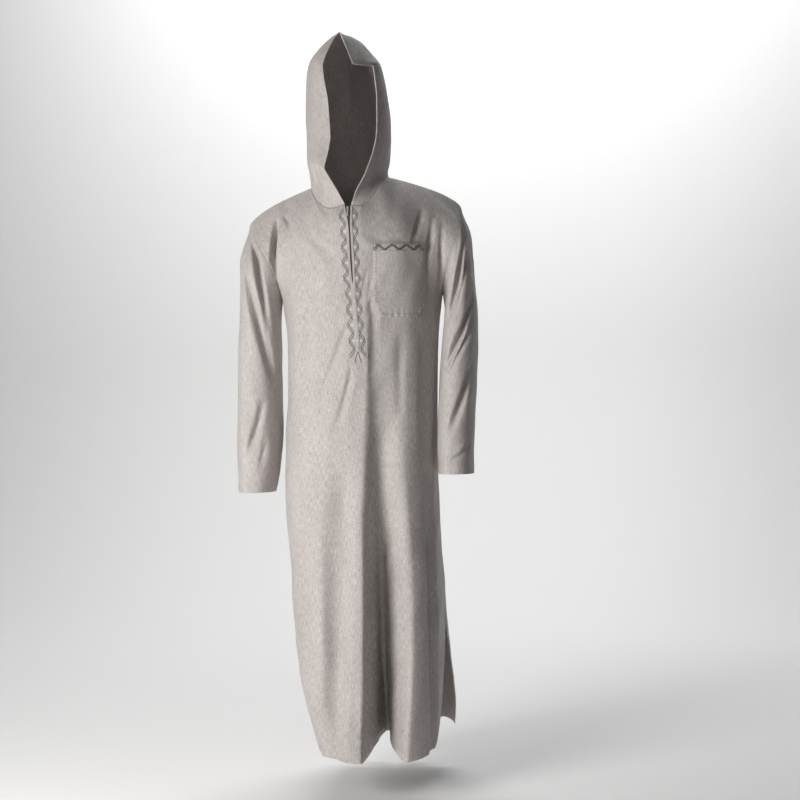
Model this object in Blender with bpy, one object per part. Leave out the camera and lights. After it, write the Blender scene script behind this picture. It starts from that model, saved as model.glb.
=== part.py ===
"""A long hooded thobe robe, as it hangs on a standing wearer who isn't modelled.

Metres, +Z up. The wearer faces -Y, so the wearer's left is +X. The origin is between the
shoulders, at the base of the neck, where the wearer carries the robe.

The cloth is worked out first as one thin surface: front and back panel, two sleeves and the two
halves of the hood, which share their points along every seam. Each piece is then cut from that
surface, drawn back a little from its seams and given a wall of its own.
"""

import math

import bmesh
import bpy
import numpy as np

# Driving sizes
WALL = 0.0016
TRIM_WALL = 0.0012
SEAM_GAP = 0.0004
UNDERARM = -0.28
HEM = -1.372
SLIT_TOP = -1.09
PLACKET_FOOT = -0.428
ZIP_FOOT = -0.254
CUFF_RIGHT = -0.752
CUFF_LEFT = -0.712
HOOD_TURN = math.radians(9)

# How many strips of cloth the surface has, along and across
UPPER_ROWS = 12
LOWER_ROWS = 24
SHOULDER_STRIPS = 7
NECK_STRIPS = 11
NAPE_STRIPS = 5
SLEEVE_ROWS = 26
FINE = 600

# The body's cross-sections. right and left are how far it reaches to the wearer's right and
# left, front and back how far forward and back, and seam is the depth of the side seams.
BODY_SECTIONS = (
    # height, right, left, left of the back panel, front, back, seam, square
    (-0.28, -0.187, 0.213, 0.213, -0.132, 0.118, 0.010, 2.2),
    (-0.36, -0.176, 0.203, 0.203, -0.138, 0.114, 0.008, 2.2),
    (-0.44, -0.168, 0.199, 0.199, -0.141, 0.112, 0.006, 2.2),
    (-0.54, -0.174, 0.196, 0.196, -0.144, 0.120, 0.006, 2.3),
    (-0.67, -0.180, 0.193, 0.193, -0.147, 0.136, 0.008, 2.3),
    (-0.76, -0.181, 0.193, 0.193, -0.150, 0.148, 0.010, 2.4),
    (-0.84, -0.177, 0.195, 0.195, -0.154, 0.158, 0.012, 2.4),
    (-0.92, -0.169, 0.198, 0.198, -0.160, 0.168, 0.015, 2.5),
    (-1.03, -0.164, 0.202, 0.202, -0.170, 0.182, 0.020, 2.6),
    (-1.16, -0.152, 0.204, 0.211, -0.182, 0.200, 0.025, 2.8),
    (-1.26, -0.132, 0.203, 0.217, -0.192, 0.215, 0.028, 3.0),
    (-1.33, -0.112, 0.203, 0.219, -0.198, 0.224, 0.030, 3.0),
    (-1.38, -0.098, 0.202, 0.216, -0.201, 0.230, 0.030, 3.0),
)

# How far the side slits have swung open, as an angle round the section from the seam
SLIT_OPENING = (
    # height, front edge at the left, back edge at the left, both edges at the right
    (-1.09, 0.0, 0.0, 0.0),
    (-1.18, 5.0, 4.0, 1.0),
    (-1.27, 10.0, 10.0, 2.0),
    (-1.33, 18.0, 16.0, 3.0),
    (-1.38, 26.0, 20.0, 4.0),
)

# The line down the middle of the front, where the placket is, and below it the main ridge
FRONT_LINE = (
    # height, x
    (-0.06, 0.0045),
    (-0.105, 0.008),
    (-0.173, 0.0115),
    (-0.254, 0.017),
    (-0.332, 0.0215),
    (-0.43, 0.029),
    (-0.55, 0.032),
    (-0.92, 0.033),
    (-1.20, 0.037),
    (-1.38, 0.040),
)

# The body's long folds. Each is a trough that runs down the cloth: x is its bottom,
# towards_right and towards_left are how wide it is on either side of it, measured along the
# cloth, and flat is the share of that width which is its floor.
FRONT_FOLDS = {
    "between the knees": (
        # height, x, towards_right, towards_left, depth, flat
        (-0.30, 0.072, 0.024, 0.030, 0.000, 0.0),
        (-0.36, 0.077, 0.026, 0.050, 0.010, 0.0),
        (-0.44, 0.082, 0.034, 0.060, 0.019, 0.0),
        (-0.55, 0.080, 0.040, 0.060, 0.024, 0.0),
        (-0.67, 0.0785, 0.043, 0.063, 0.030, 0.0),
        (-0.80, 0.078, 0.048, 0.070, 0.052, 0.05),
        (-0.92, 0.079, 0.048, 0.078, 0.085, 0.10),
        (-1.05, 0.081, 0.049, 0.078, 0.115, 0.15),
        (-1.20, 0.079, 0.047, 0.074, 0.155, 0.25),
        (-1.30, 0.076, 0.046, 0.070, 0.185, 0.32),
        (-1.38, 0.074, 0.045, 0.066, 0.205, 0.38),
    ),
    "placket to hip": (
        (-0.33, 0.010, 0.014, 0.014, 0.000, 0.0),
        (-0.40, -0.018, 0.016, 0.016, 0.006, 0.0),
        (-0.48, -0.056, 0.022, 0.020, 0.008, 0.0),
        (-0.57, -0.096, 0.030, 0.026, 0.006, 0.0),
        (-0.66, -0.128, 0.036, 0.032, 0.000, 0.0),
    ),
    "right thigh": (
        (-0.62, -0.012, 0.050, 0.040, 0.000, 0.0),
        (-0.80, -0.018, 0.055, 0.042, 0.013, 0.0),
        (-0.95, -0.021, 0.050, 0.040, 0.016, 0.0),
        (-1.20, -0.028, 0.045, 0.036, 0.018, 0.0),
        (-1.38, -0.036, 0.045, 0.036, 0.010, 0.0),
    ),
    "left flank": (
        (-0.70, 0.180, 0.030, 0.030, 0.000, 0.0),
        (-0.86, 0.183, 0.028, 0.030, 0.012, 0.0),
        (-1.05, 0.188, 0.030, 0.030, 0.018, 0.0),
        (-1.22, 0.190, 0.030, 0.030, 0.016, 0.0),
        (-1.38, 0.188, 0.026, 0.030, 0.008, 0.0),
    ),
}
BACK_FOLDS = {
    "back right": (
        (-0.36, -0.085, 0.040, 0.040, 0.000, 0.0),
        (-0.60, -0.092, 0.044, 0.044, 0.022, 0.0),
        (-0.90, -0.090, 0.046, 0.046, 0.042, 0.1),
        (-1.20, -0.072, 0.044, 0.042, 0.055, 0.1),
        (-1.38, -0.050, 0.038, 0.038, 0.060, 0.1),
    ),
    "back middle": (
        (-0.44, 0.012, 0.042, 0.042, 0.000, 0.0),
        (-0.65, 0.010, 0.046, 0.046, 0.026, 0.0),
        (-0.95, 0.018, 0.048, 0.048, 0.050, 0.1),
        (-1.20, 0.036, 0.046, 0.044, 0.062, 0.1),
        (-1.38, 0.048, 0.042, 0.040, 0.066, 0.1),
    ),
    "back left": (
        (-0.34, 0.112, 0.042, 0.040, 0.000, 0.0),
        (-0.58, 0.116, 0.046, 0.042, 0.024, 0.0),
        (-0.90, 0.124, 0.046, 0.044, 0.044, 0.1),
        (-1.20, 0.136, 0.042, 0.040, 0.052, 0.1),
        (-1.38, 0.142, 0.040, 0.038, 0.056, 0.1),
    ),
}
FOLD_FREE_SEAM = 0.035

# How much the hem rises for each metre that the cloth lies behind the front of its section,
# and how much the back's hem rises towards the wearer's left
HEM_RISE = 0.15
BACK_HEM_RISE = 0.022

# The neckline, by the direction from the neck's middle: 0 is forward, 90 the wearer's left
NECKLINE = (
    # direction, x, y, z
    (-90, -0.106, 0.018, -0.004),
    (-72, -0.102, -0.022, -0.016),
    (-55, -0.089, -0.055, -0.038),
    (-40, -0.071, -0.079, -0.057),
    (-27, -0.050, -0.095, -0.071),
    (-14, -0.025, -0.105, -0.072),
    (0, 0.000, -0.109, -0.067),
    (8, 0.013, -0.109, -0.069),
    (16, 0.028, -0.107, -0.070),
    (28, 0.049, -0.097, -0.061),
    (42, 0.066, -0.077, -0.037),
    (60, 0.077, -0.045, -0.007),
    (75, 0.081, -0.014, 0.008),
    (90, 0.082, 0.018, 0.013),
    (135, 0.054, 0.066, 0.010),
    (180, -0.014, 0.086, 0.008),
    (225, -0.080, 0.066, 0.001),
    (270, -0.106, 0.018, -0.004),
)
SLIT_DIRECTION = 2.8
DEGREES_PER_METRE = 560

# Where the shoulder seams end and the armholes run, on the wearer's right and left
SHOULDER_RIGHT = (-0.267, 0.010, -0.092)
SHOULDER_LEFT = (0.261, 0.010, -0.068)
SHOULDER_ARCH = 0.014
ARMHOLE_FORWARD = 0.062
ARMHOLE_BACKWARD = 0.072
ARMHOLE_INWARD_RIGHT = 0.016
ARMHOLE_INWARD_LEFT = -0.011
ARMHOLE_SWAY_RIGHT = -0.003
ARMHOLE_SWAY_LEFT = 0.007
ARMHOLE_FADE = 8
ROW_SPREAD = 1.3
CHEST_CURVE = 0.44
CHEST_FULLNESS = 0.10

# The sleeves' cross-sections, with how far each reaches out, in, forward and back
RIGHT_SLEEVE = (
    # height, outer, inner, front, back
    (-0.09, -0.270, -0.196, -0.050, 0.075),
    (-0.145, -0.284, -0.196, -0.056, 0.078),
    (-0.19, -0.290, -0.195, -0.060, 0.080),
    (-0.25, -0.289, -0.194, -0.062, 0.078),
    (-0.38, -0.294, -0.193, -0.066, 0.070),
    (-0.52, -0.297, -0.190, -0.076, 0.058),
    (-0.60, -0.297, -0.188, -0.084, 0.048),
    (-0.68, -0.294, -0.193, -0.090, 0.036),
    (-0.76, -0.291, -0.206, -0.095, 0.024),
)
LEFT_SLEEVE = (
    (-0.06, 0.264, 0.205, -0.050, 0.075),
    (-0.11, 0.281, 0.214, -0.056, 0.078),
    (-0.19, 0.287, 0.222, -0.060, 0.080),
    (-0.25, 0.291, 0.224, -0.062, 0.078),
    (-0.31, 0.295, 0.220, -0.065, 0.073),
    (-0.395, 0.298, 0.213, -0.072, 0.064),
    (-0.49, 0.293, 0.206, -0.080, 0.054),
    (-0.59, 0.289, 0.201, -0.087, 0.044),
    (-0.66, 0.286, 0.201, -0.091, 0.034),
    (-0.72, 0.285, 0.203, -0.095, 0.024),
)
SLEEVE_CAP = 0.14
SLEEVE_SQUARE = 2.2

# The sleeves' largest folds. Each runs from its start to its end, given as the angle round the
# sleeve, from the outside (0) over the front (90) to the inside (180), and the height.
RIGHT_SLEEVE_FOLDS = (
    # angle, height, angle at the end, height at the end, half width, depth
    (38, -0.13, 150, -0.50, 0.024, 0.016),
    (118, -0.52, 78, -0.66, 0.018, 0.008),
    (215, -0.30, 250, -0.62, 0.024, 0.014),
    (300, -0.22, 270, -0.56, 0.024, 0.012),
)
LEFT_SLEEVE_FOLDS = (
    (40, -0.12, 130, -0.36, 0.017, 0.014),
    (28, -0.28, 128, -0.47, 0.017, 0.014),
    (35, -0.44, 100, -0.62, 0.018, 0.012),
    (215, -0.28, 250, -0.60, 0.024, 0.014),
    (300, -0.20, 268, -0.54, 0.024, 0.012),
)

# The hood, in its own frame, which is turned with the wearer's head. edge is the rim round the
# face, side the widest place of that section, and crown where it meets the centre seam.
HOOD_RIGHT = (
    # edge x, y, z, side x, y, z
    (-0.036, -0.110, -0.036, -0.108, 0.016, 0.028),
    (-0.066, -0.116, 0.018, -0.110, 0.018, 0.062),
    (-0.056, -0.110, 0.060, -0.112, 0.020, 0.102),
    (-0.050, -0.104, 0.092, -0.113, 0.020, 0.136),
    (-0.053, -0.100, 0.136, -0.1135, 0.020, 0.172),
    (-0.056, -0.100, 0.188, -0.112, 0.018, 0.216),
    (-0.064, -0.100, 0.234, -0.107, 0.014, 0.262),
    (-0.067, -0.096, 0.268, -0.097, 0.004, 0.298),
    (-0.058, -0.092, 0.296, -0.080, -0.010, 0.317),
    (-0.046, -0.086, 0.320, -0.060, -0.024, 0.335),
    (-0.036, -0.080, 0.338, -0.040, -0.040, 0.347),
    (-0.026, -0.076, 0.350, -0.022, -0.052, 0.352),
)
HOOD_LEFT = (
    (0.008, -0.114, -0.036, 0.086, 0.018, 0.044),
    (0.027, -0.112, 0.000, 0.088, 0.020, 0.076),
    (0.047, -0.106, 0.050, 0.0885, 0.022, 0.108),
    (0.056, -0.100, 0.088, 0.087, 0.022, 0.142),
    (0.060, -0.095, 0.136, 0.084, 0.022, 0.178),
    (0.060, -0.091, 0.196, 0.077, 0.020, 0.226),
    (0.056, -0.090, 0.236, 0.070, 0.014, 0.260),
    (0.052, -0.090, 0.265, 0.061, 0.004, 0.290),
    (0.027, -0.112, 0.262, 0.047, -0.006, 0.314),
    (0.005, -0.128, 0.262, 0.027, -0.024, 0.335),
    (-0.010, -0.100, 0.306, 0.002, -0.040, 0.347),
    (-0.026, -0.076, 0.350, -0.022, -0.052, 0.352),
)
HOOD_CROWN = (
    # y, z
    (0.098, 0.048),
    (0.114, 0.090),
    (0.128, 0.130),
    (0.139, 0.168),
    (0.145, 0.204),
    (0.147, 0.240),
    (0.142, 0.270),
    (0.128, 0.297),
    (0.100, 0.318),
    (0.058, 0.332),
    (0.012, 0.341),
    (-0.030, 0.348),
)
HOOD_CROWN_X = -0.012
HOOD_ROUNDNESS = 0.24

# The placket and its zip, measured across the front from its middle line
SLIT_WIDTHS = (
    # height, half width of the slit
    (-0.067, 0.0072),
    (-0.088, 0.0050),
    (-0.105, 0.0028),
    (-0.139, 0.0017),
    (-0.173, 0.0019),
    (-0.200, 0.0020),
    (-0.254, 0.0011),
    (-0.285, 0.0011),
)
BAND_WIDTH = 0.0080
NARROW_BAND_SHARE = 0.6
TAPE_HALF_WIDTH = 0.0130

# The zip's slider, across, out from the cloth and along the zip, and the loop that it holds its
# pull by. The pull has an eye at its top, whose bar lies in the loop.
SLIDER_HEIGHT = -0.0785
SLIDER_SIZE = (0.0066, 0.0026, 0.0094)
SLIDER_WAIST = 0.0012
SLIDER_GAP = 0.0004
LOOP_WIDTH = 0.0012
LOOP_LENGTH = 0.0060
LOOP_WALL = 0.0009
LOOP_OPENING = 0.0018
PULL_WIDTH = 0.0036
PULL_THICKNESS = 0.0008
PULL_LENGTH = 0.0205
EYE_LENGTH = 0.0058
EYE_BORDER = 0.0009
PULL_BAR_PLACE = (-0.0022, -0.0013)

# The chest pocket: its edges, as x and height on the front
POCKET_RIGHT = 0.063
POCKET_LEFT = 0.185
POCKET_TOP = -0.172
POCKET_FOOT = -0.328
POCKET_CORNER = 0.022

GREY = (0.46, 0.44, 0.43, 1.0)
DARK_GREY = (0.16, 0.15, 0.15, 1.0)
METAL = (0.75, 0.74, 0.72, 1.0)


def through(table, keys):
    """A table's other columns at keys in its first column, on smooth curves through its rows."""
    rows = np.array(sorted(table), float)
    known, values = rows[:, 0], rows[:, 1:]
    slopes = np.gradient(values, known, axis=0)
    keys = np.clip(np.asarray(keys, float), known[0], known[-1])
    at = np.clip(np.searchsorted(known, keys, side="right") - 1, 0, len(known) - 2)
    span = known[at + 1] - known[at]
    t = ((keys - known[at]) / span)[..., None]
    span = span[..., None]
    return (
        (2 * t**3 - 3 * t**2 + 1) * values[at]
        + (t**3 - 2 * t**2 + t) * span * slopes[at]
        + (3 * t**2 - 2 * t**3) * values[at + 1]
        + (t**3 - t**2) * span * slopes[at + 1]
    )


def bell(distance, flat=0.0):
    """1 in the middle of a fold, out to the share of it that is flat, and 0 from 1 on."""
    past = np.clip((np.abs(distance) - flat) / (1 - flat), 0, 1)
    return 0.5 + 0.5 * np.cos(np.pi * past)


def ease(t):
    t = np.clip(t, 0, 1)
    return t * t * (3 - 2 * t)


def unit(vectors):
    length = np.linalg.norm(vectors, axis=-1, keepdims=True)
    return vectors / np.maximum(length, 1e-12)


def along(points):
    """How far along a line of points each of them lies."""
    steps = np.linalg.norm(np.diff(points, axis=0), axis=1)
    return np.concatenate([[0.0], np.cumsum(steps)])


def spaced(points, distances):
    """The points that lie at these distances along a line of points."""
    so_far = along(points)
    return np.stack([np.interp(distances, so_far, points[:, k]) for k in range(points.shape[1])], 1)


def section(height, face):
    """One level of the body's front or back, from the right seam to the left, close together."""
    right, left, left_of_back, front, back, seam, square = through(BODY_SECTIONS, height)
    end_of_front, end_of_back, both_right = np.radians(through(SLIT_OPENING, height))
    if face == "front":
        extent, end, folds = front, end_of_front, FRONT_FOLDS
    else:
        left, extent, end, folds = left_of_back, back, end_of_back, BACK_FOLDS
    angle = np.linspace(both_right, math.pi - end, FINE)
    cosine, sine = np.cos(angle), np.sin(angle)
    x = (right + left) / 2 - (left - right) / 2 * np.sign(cosine) * np.abs(cosine) ** (2 / square)
    y = seam + (extent - seam) * np.abs(sine) ** (2 / square)
    level = spaced(np.stack([x, y], 1), np.linspace(0, along(np.stack([x, y], 1))[-1], FINE))
    tangent = np.gradient(level, axis=0)
    inward = unit(np.stack([-tangent[:, 1], tangent[:, 0]], 1))
    if face == "back":
        inward = -inward
    so_far = along(level)
    depth = np.zeros(FINE)
    for fold in folds.values():
        if not fold[-1][0] <= height <= fold[0][0]:
            continue
        bottom, towards_right, towards_left, deep, flat = through(fold, height)
        off = so_far - np.interp(bottom, level[:, 0], so_far)
        depth += deep * bell(off / np.where(off < 0, towards_right, towards_left), max(flat, 0))
    held = ease(np.minimum(so_far, so_far[-1] - so_far) / FOLD_FREE_SEAM)
    loose = ease((SLIT_TOP - height) / 0.15)
    level = level + inward * (depth * np.maximum(held, loose))[:, None]
    return np.column_stack([level, np.full(FINE, height)])


def front_level(height):
    """One row of the front panel: the columns from the right seam to the left."""
    level = section(height, "front")
    so_far = along(level)
    middle = through(FRONT_LINE, height)[0]
    facing = np.flatnonzero(level[:, 1] < 0)
    nearest = facing[np.argmin(np.abs(level[facing, 0] - middle))]
    centre, end = so_far[nearest], so_far[-1]
    slit = through(SLIT_WIDTHS, height)[0]
    right = np.linspace(0, centre - TAPE_HALF_WIDTH, SHOULDER_STRIPS + NECK_STRIPS)
    left = np.linspace(centre + slit + BAND_WIDTH, end, SHOULDER_STRIPS + NECK_STRIPS)
    return spaced(level, np.concatenate([right, [centre - slit, centre + slit], left]))


def back_level(height):
    level = section(height, "back")
    strips = 2 * (SHOULDER_STRIPS + NAPE_STRIPS)
    return spaced(level, np.linspace(0, along(level)[-1], strips + 1))


def neckline(directions):
    """Points of the neckline by their direction in degrees from the neck's middle."""
    return through(NECKLINE, np.asarray(directions, float))


def shoulder_seam(neck_point, end):
    """The shoulder seam from its outer end to the neck, both ends included."""
    t = np.linspace(0, 1, SHOULDER_STRIPS + 1)[:, None]
    line = np.array(end) * (1 - t) + neck_point * t
    line[:, 2] += SHOULDER_ARCH * np.sin(np.pi * t[:, 0] ** 0.6)
    return line


def front_top():
    """The front's upper edge: shoulder seam, neckline, the slit's two sides, and back again."""
    slit = SLIT_WIDTHS[0][1] * DEGREES_PER_METRE
    tape = TAPE_HALF_WIDTH * DEGREES_PER_METRE
    band = slit + BAND_WIDTH * DEGREES_PER_METRE
    right = neckline(np.linspace(-90, SLIT_DIRECTION - tape, NECK_STRIPS))
    sides = neckline([SLIT_DIRECTION - slit, SLIT_DIRECTION + slit])
    left = neckline(np.linspace(SLIT_DIRECTION + band, 90, NECK_STRIPS))
    return np.concatenate(
        [
            shoulder_seam(right[0], SHOULDER_RIGHT)[:-1],
            right,
            sides,
            left,
            shoulder_seam(left[-1], SHOULDER_LEFT)[::-1][1:],
        ]
    )


def back_top():
    nape = neckline(np.linspace(270, 90, 2 * NAPE_STRIPS + 1))
    return np.concatenate(
        [
            shoulder_seam(nape[0], SHOULDER_RIGHT)[:-1],
            nape,
            shoulder_seam(nape[-1], SHOULDER_LEFT)[::-1][1:],
        ]
    )


def armhole(shoulder, underarm, bow, bulge, sway):
    """An armhole's front or back edge, from the shoulder down to the underarm."""
    t = np.linspace(0, 1, UPPER_ROWS + 1) ** ROW_SPREAD
    line = np.array(shoulder) + np.outer(t, np.array(underarm) - np.array(shoulder))
    line[:, 1] += bow * np.sin(np.pi * t)
    line[:, 0] += bulge * np.sin(np.pi * t) + sway * np.sin(2 * np.pi * t)
    return line


def softened(line, times):
    """A line of points with the corners of its depth and height rounded, and its ends held."""
    line = line.copy()
    for _ in range(times):
        line[1:-1, 1:] = (line[:-2, 1:] + 2 * line[1:-1, 1:] + line[2:, 1:]) / 4
    return line


def upper_body(top, bottom, bow):
    """The panel above the underarm, spanned between its four edges. The corners between the
    neckline and the shoulder seams fade out down the panel, and so do the armholes' curves."""
    share = np.linspace(0, 1, len(top))[None, :, None]
    t = (np.linspace(0, 1, UPPER_ROWS + 1) ** ROW_SPREAD)[:, None, None]
    fuller = t**CHEST_CURVE + CHEST_FULLNESS * np.sin(np.pi * t)
    tops = np.stack([softened(top, row * (row + 2)) for row in range(UPPER_ROWS + 1)])
    panel = tops * (1 - t) + bottom[None] * t
    panel[:, :, 1:2] = tops[:, :, 1:2] + (bottom[None] - tops)[:, :, 1:2] * fuller
    for column, bulge, sway, weight in (
        (0, ARMHOLE_INWARD_RIGHT, ARMHOLE_SWAY_RIGHT, 1 - share),
        (-1, -ARMHOLE_INWARD_LEFT, ARMHOLE_SWAY_LEFT, share),
    ):
        wanted = armhole(top[column], bottom[column], bow, bulge, sway)
        panel += (wanted - panel[:, column])[:, None] * weight ** (3 + ARMHOLE_FADE * t * t)
    return panel


def narrow_the_slit(front):
    """Brings the slit's two sides as close as it is wide at each height."""
    at = SHOULDER_STRIPS + NECK_STRIPS
    for row in front[: UPPER_ROWS + 1]:
        middle = (row[at] + row[at + 1]) / 2
        across = unit(row[at + 1] - row[at])
        slit = through(SLIT_WIDTHS, middle[2])[0]
        row[at] = middle - across * slit
        row[at + 1] = middle + across * slit
        row[at - 1] = middle - across * TAPE_HALF_WIDTH
        row[at + 2] = middle + across * (slit + BAND_WIDTH)


def body_panel(top, level_at, bow, face):
    """A whole front or back panel as rows of points from its top edge to its hem."""
    down = np.linspace(0, 1, LOWER_ROWS + 1)
    lower = np.stack([level_at(height) for height in UNDERARM + (HEM - UNDERARM) * down])
    forward = lower[:, :, 1].min(axis=1, keepdims=True)
    near_hem = ease((SLIT_TOP - lower[:, :1, 2]) / (SLIT_TOP - HEM))
    if face == "front":
        lower[:, :, 2] += HEM_RISE * (lower[:, :, 1] - forward) * near_hem
    else:
        lower[:, :, 2] += BACK_HEM_RISE * ease((lower[:, :, 0] - 0.08) / 0.10) * near_hem
    upper = upper_body(top, lower[0], bow)
    return np.concatenate([upper[:-1], lower])


def sleeve(front, back, table, cuff, folds, side):
    """A sleeve as rings from the armhole to the cuff. Each ring goes from the outside over the
    front to the inside, and back over the back."""
    column = 0 if side == "right" else -1
    hole = np.concatenate([front[: UPPER_ROWS + 1, column], back[UPPER_ROWS - 1 : 0 : -1, column]])
    count = len(hole)
    angle = 2 * math.pi * np.arange(count) / count
    rings = []
    for t in np.linspace(0, 1, SLEEVE_ROWS + 1):
        height = hole[:, 2] * (1 - t) + cuff * t
        outer, inner, forward, backward = through(table, height).T
        reach = np.where(np.sin(angle) > 0, forward, backward)
        middle = (forward + backward) / 2
        power = 2 / SLEEVE_SQUARE
        cosine = np.sign(np.cos(angle)) * np.abs(np.cos(angle)) ** power
        sine = np.abs(np.sin(angle)) ** power
        tube = np.stack(
            [
                (outer + inner) / 2 + (outer - inner) / 2 * cosine,
                middle + (reach - middle) * sine,
                height,
            ],
            1,
        )
        blend = 1 - (1 - min(t / SLEEVE_CAP, 1)) ** 2
        drop = np.stack([hole[:, 0], hole[:, 1], height], 1)
        rings.append(drop * (1 - blend) + tube * blend)
    rings = np.stack(rings)
    return sink_folds(rings, angle, folds)


def sink_folds(rings, angle, folds):
    """Presses a sleeve's folds into its rings, square to the cloth. The armhole stays as it is."""
    outward = rings - rings.mean(axis=1, keepdims=True)
    outward[:, :, 2] = 0
    halfway = rings[len(rings) // 2]
    girth = along(np.concatenate([halfway, halfway[:1]]))[-1]
    heights = rings[:, :, 2]
    depth = np.zeros(heights.shape)
    for start_angle, start, end_angle, end, half_width, deep in folds:
        t = (heights - start) / (end - start)
        turned = np.degrees(angle) - start_angle - (end_angle - start_angle) * t
        slope = (end_angle - start_angle) * girth / 360 / (end - start)
        off = turned * girth / 360 / math.hypot(1, slope)
        depth += deep * np.sin(np.pi * np.clip(t, 0, 1)) * bell(off / half_width)
    held = ease(np.arange(len(rings)) / 4)[:, None]
    return rings - unit(outward) * (depth * held)[:, :, None]


def hood_half(neck, table):
    """Half of the hood as rows from the neck seam up to the crown. Each row runs from the rim
    round the face, over the side of the head, to the centre seam at the back."""
    by_neck = along(neck) / along(neck)[-1]
    evenly = np.linspace(0, 1, len(neck))
    turn = np.array(
        [
            [math.cos(HOOD_TURN), -math.sin(HOOD_TURN)],
            [math.sin(HOOD_TURN), math.cos(HOOD_TURN)],
        ]
    )
    rows = [neck]
    for index, (row, crown) in enumerate(zip(table, HOOD_CROWN)):
        edge, widest = np.array(row[:3]), np.array(row[3:])
        end = np.array([HOOD_CROWN_X, *crown])
        pull = (8 * widest - edge - end) / 6
        spread = (end - edge) * HOOD_ROUNDNESS
        even = (index + 1) / len(table)
        t = (by_neck * (1 - even) + evenly * even)[:, None]
        line = (
            (1 - t) ** 3 * edge
            + 3 * t * (1 - t) ** 2 * (pull - spread)
            + 3 * t**2 * (1 - t) * (pull + spread)
            + t**3 * end
        )
        line[:, :2] = line[:, :2] @ turn.T
        rows.append(line)
    return np.stack(rows)


class Cloth:
    """The whole robe as one surface of shared points, with the piece that each face is cut to."""

    def __init__(self):
        self.places = {}
        self.points = []
        self.faces = []

    def index(self, point):
        key = tuple(np.round(point, 6))
        if key not in self.places:
            self.places[key] = len(self.points)
            self.points.append(np.array(point, float))
        return self.places[key]

    def add(self, name, grid, outward, closed=False, skip=()):
        """Adds a grid of points as faces of a piece. outward says that the columns run
        clockwise round the rows as seen from outside, and skip lists the cells left open."""
        rows, columns = grid.shape[:2]
        numbers = [[self.index(grid[i, j]) for j in range(columns)] for i in range(rows)]
        for i in range(rows - 1):
            for j in range(columns if closed else columns - 1):
                if (i, j) in skip:
                    continue
                following = (j + 1) % columns
                corners = [
                    numbers[i][j],
                    numbers[i + 1][j],
                    numbers[i + 1][following],
                    numbers[i][following],
                ]
                self.split(name, corners if outward else corners[::-1])
        return np.array(numbers)

    def split(self, name, corners):
        """Adds a face of four corners as two triangles, along its shorter diagonal."""
        a, b, c, d = (self.points[corner] for corner in corners)
        if np.linalg.norm(a - c) > np.linalg.norm(b - d):
            corners = corners[1:] + corners[:1]
        for third in (corners[:3], [corners[0], corners[2], corners[3]]):
            if len(set(third)) == 3:
                self.faces.append((name, third))

    def normals(self):
        points = np.array(self.points)
        total = np.zeros_like(points)
        for _, corners in self.faces:
            count = len(corners)
            for k, corner in enumerate(corners):
                before = points[corners[k - 1]] - points[corner]
                after = points[corners[(k + 1) % count]] - points[corner]
                square = np.cross(after, before)
                weight = math.atan2(np.linalg.norm(square), float(after @ before))
                total[corner] += unit(square) * weight
        return unit(total)

    def patch(self, name, normals, outline, lift, wall):
        """A closed piece that lies on another one. It has that piece's own faces, cut to an
        outline of x and z that runs anticlockwise as seen from the front, moved out by lift."""
        points = np.array(self.points)
        places, made, faces = {}, [], []
        for piece, corners in self.faces:
            if piece != name or points[corners, 1].max() > 0:
                continue
            cut = [np.concatenate([points[c], normals[c]]) for c in corners]
            for start, end in zip(outline, outline[1:] + outline[:1]):
                cut = cut_away(cut, np.array(start), np.array(end))
            numbers = []
            for corner in cut:
                key = tuple(np.round(corner[:3], 5))
                if key not in places:
                    places[key] = len(made)
                    made.append(corner)
                numbers.append(places[key])
            numbers = list(dict.fromkeys(numbers))
            if len(numbers) > 2:
                faces.append(numbers)
        made = np.array(made)
        turned = unit(made[:, 3:])
        return walled(made[:, :3] + turned * lift, turned, faces, wall)

    def shell(self, name, normals, wall, gap):
        """The closed wall of one piece: its outer and inner points, and its faces."""
        points = np.array(self.points)
        faces = [corners for piece, corners in self.faces if piece == name]
        shared = {c for piece, corners in self.faces if piece != name for c in corners}
        own = sorted({c for corners in faces for c in corners})
        inside = {c: np.zeros(3) for c in own}
        for corners in faces:
            middle = points[corners].mean(axis=0)
            for c in corners:
                inside[c] += unit(middle - points[c])
        middle_points = []
        for c in own:
            point = points[c]
            if c in shared:
                towards = inside[c] - normals[c] * (inside[c] @ normals[c])
                point = point + unit(towards) * gap / 2
            middle_points.append(point)
        middle_points = np.array(middle_points)
        facing = normals[own]
        local = {c: k for k, c in enumerate(own)}
        local_faces = [[local[c] for c in corners] for corners in faces]
        return walled(middle_points, facing, local_faces, wall)


def cut_away(corners, start, end):
    """Cuts a face along the line from start to end, in x and z, and keeps what is left of it."""
    along_edge = end - start
    sides = [
        along_edge[0] * (corner[2] - start[1]) - along_edge[1] * (corner[0] - start[0])
        for corner in corners
    ]
    kept = []
    for k, corner in enumerate(corners):
        before = k - 1
        if (sides[k] >= 0) != (sides[before] >= 0):
            t = sides[before] / (sides[before] - sides[k])
            kept.append(corners[before] + (corner - corners[before]) * t)
        if sides[k] >= 0:
            kept.append(corner)
    return kept


def walled(points, facing, faces, wall):
    """Gives a thin surface a wall, half on each side, closed along its edges."""
    count = len(points)
    both = np.concatenate([points + facing * wall / 2, points - facing * wall / 2])
    made = [list(corners) for corners in faces]
    made += [[c + count for c in reversed(corners)] for corners in faces]
    edges = {}
    for corners in faces:
        for a, b in zip(corners, corners[1:] + corners[:1]):
            edges[(a, b)] = True
    for a, b in edges:
        if (b, a) not in edges:
            made.append([b, a, a + count, b + count])
    return both, made


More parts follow.
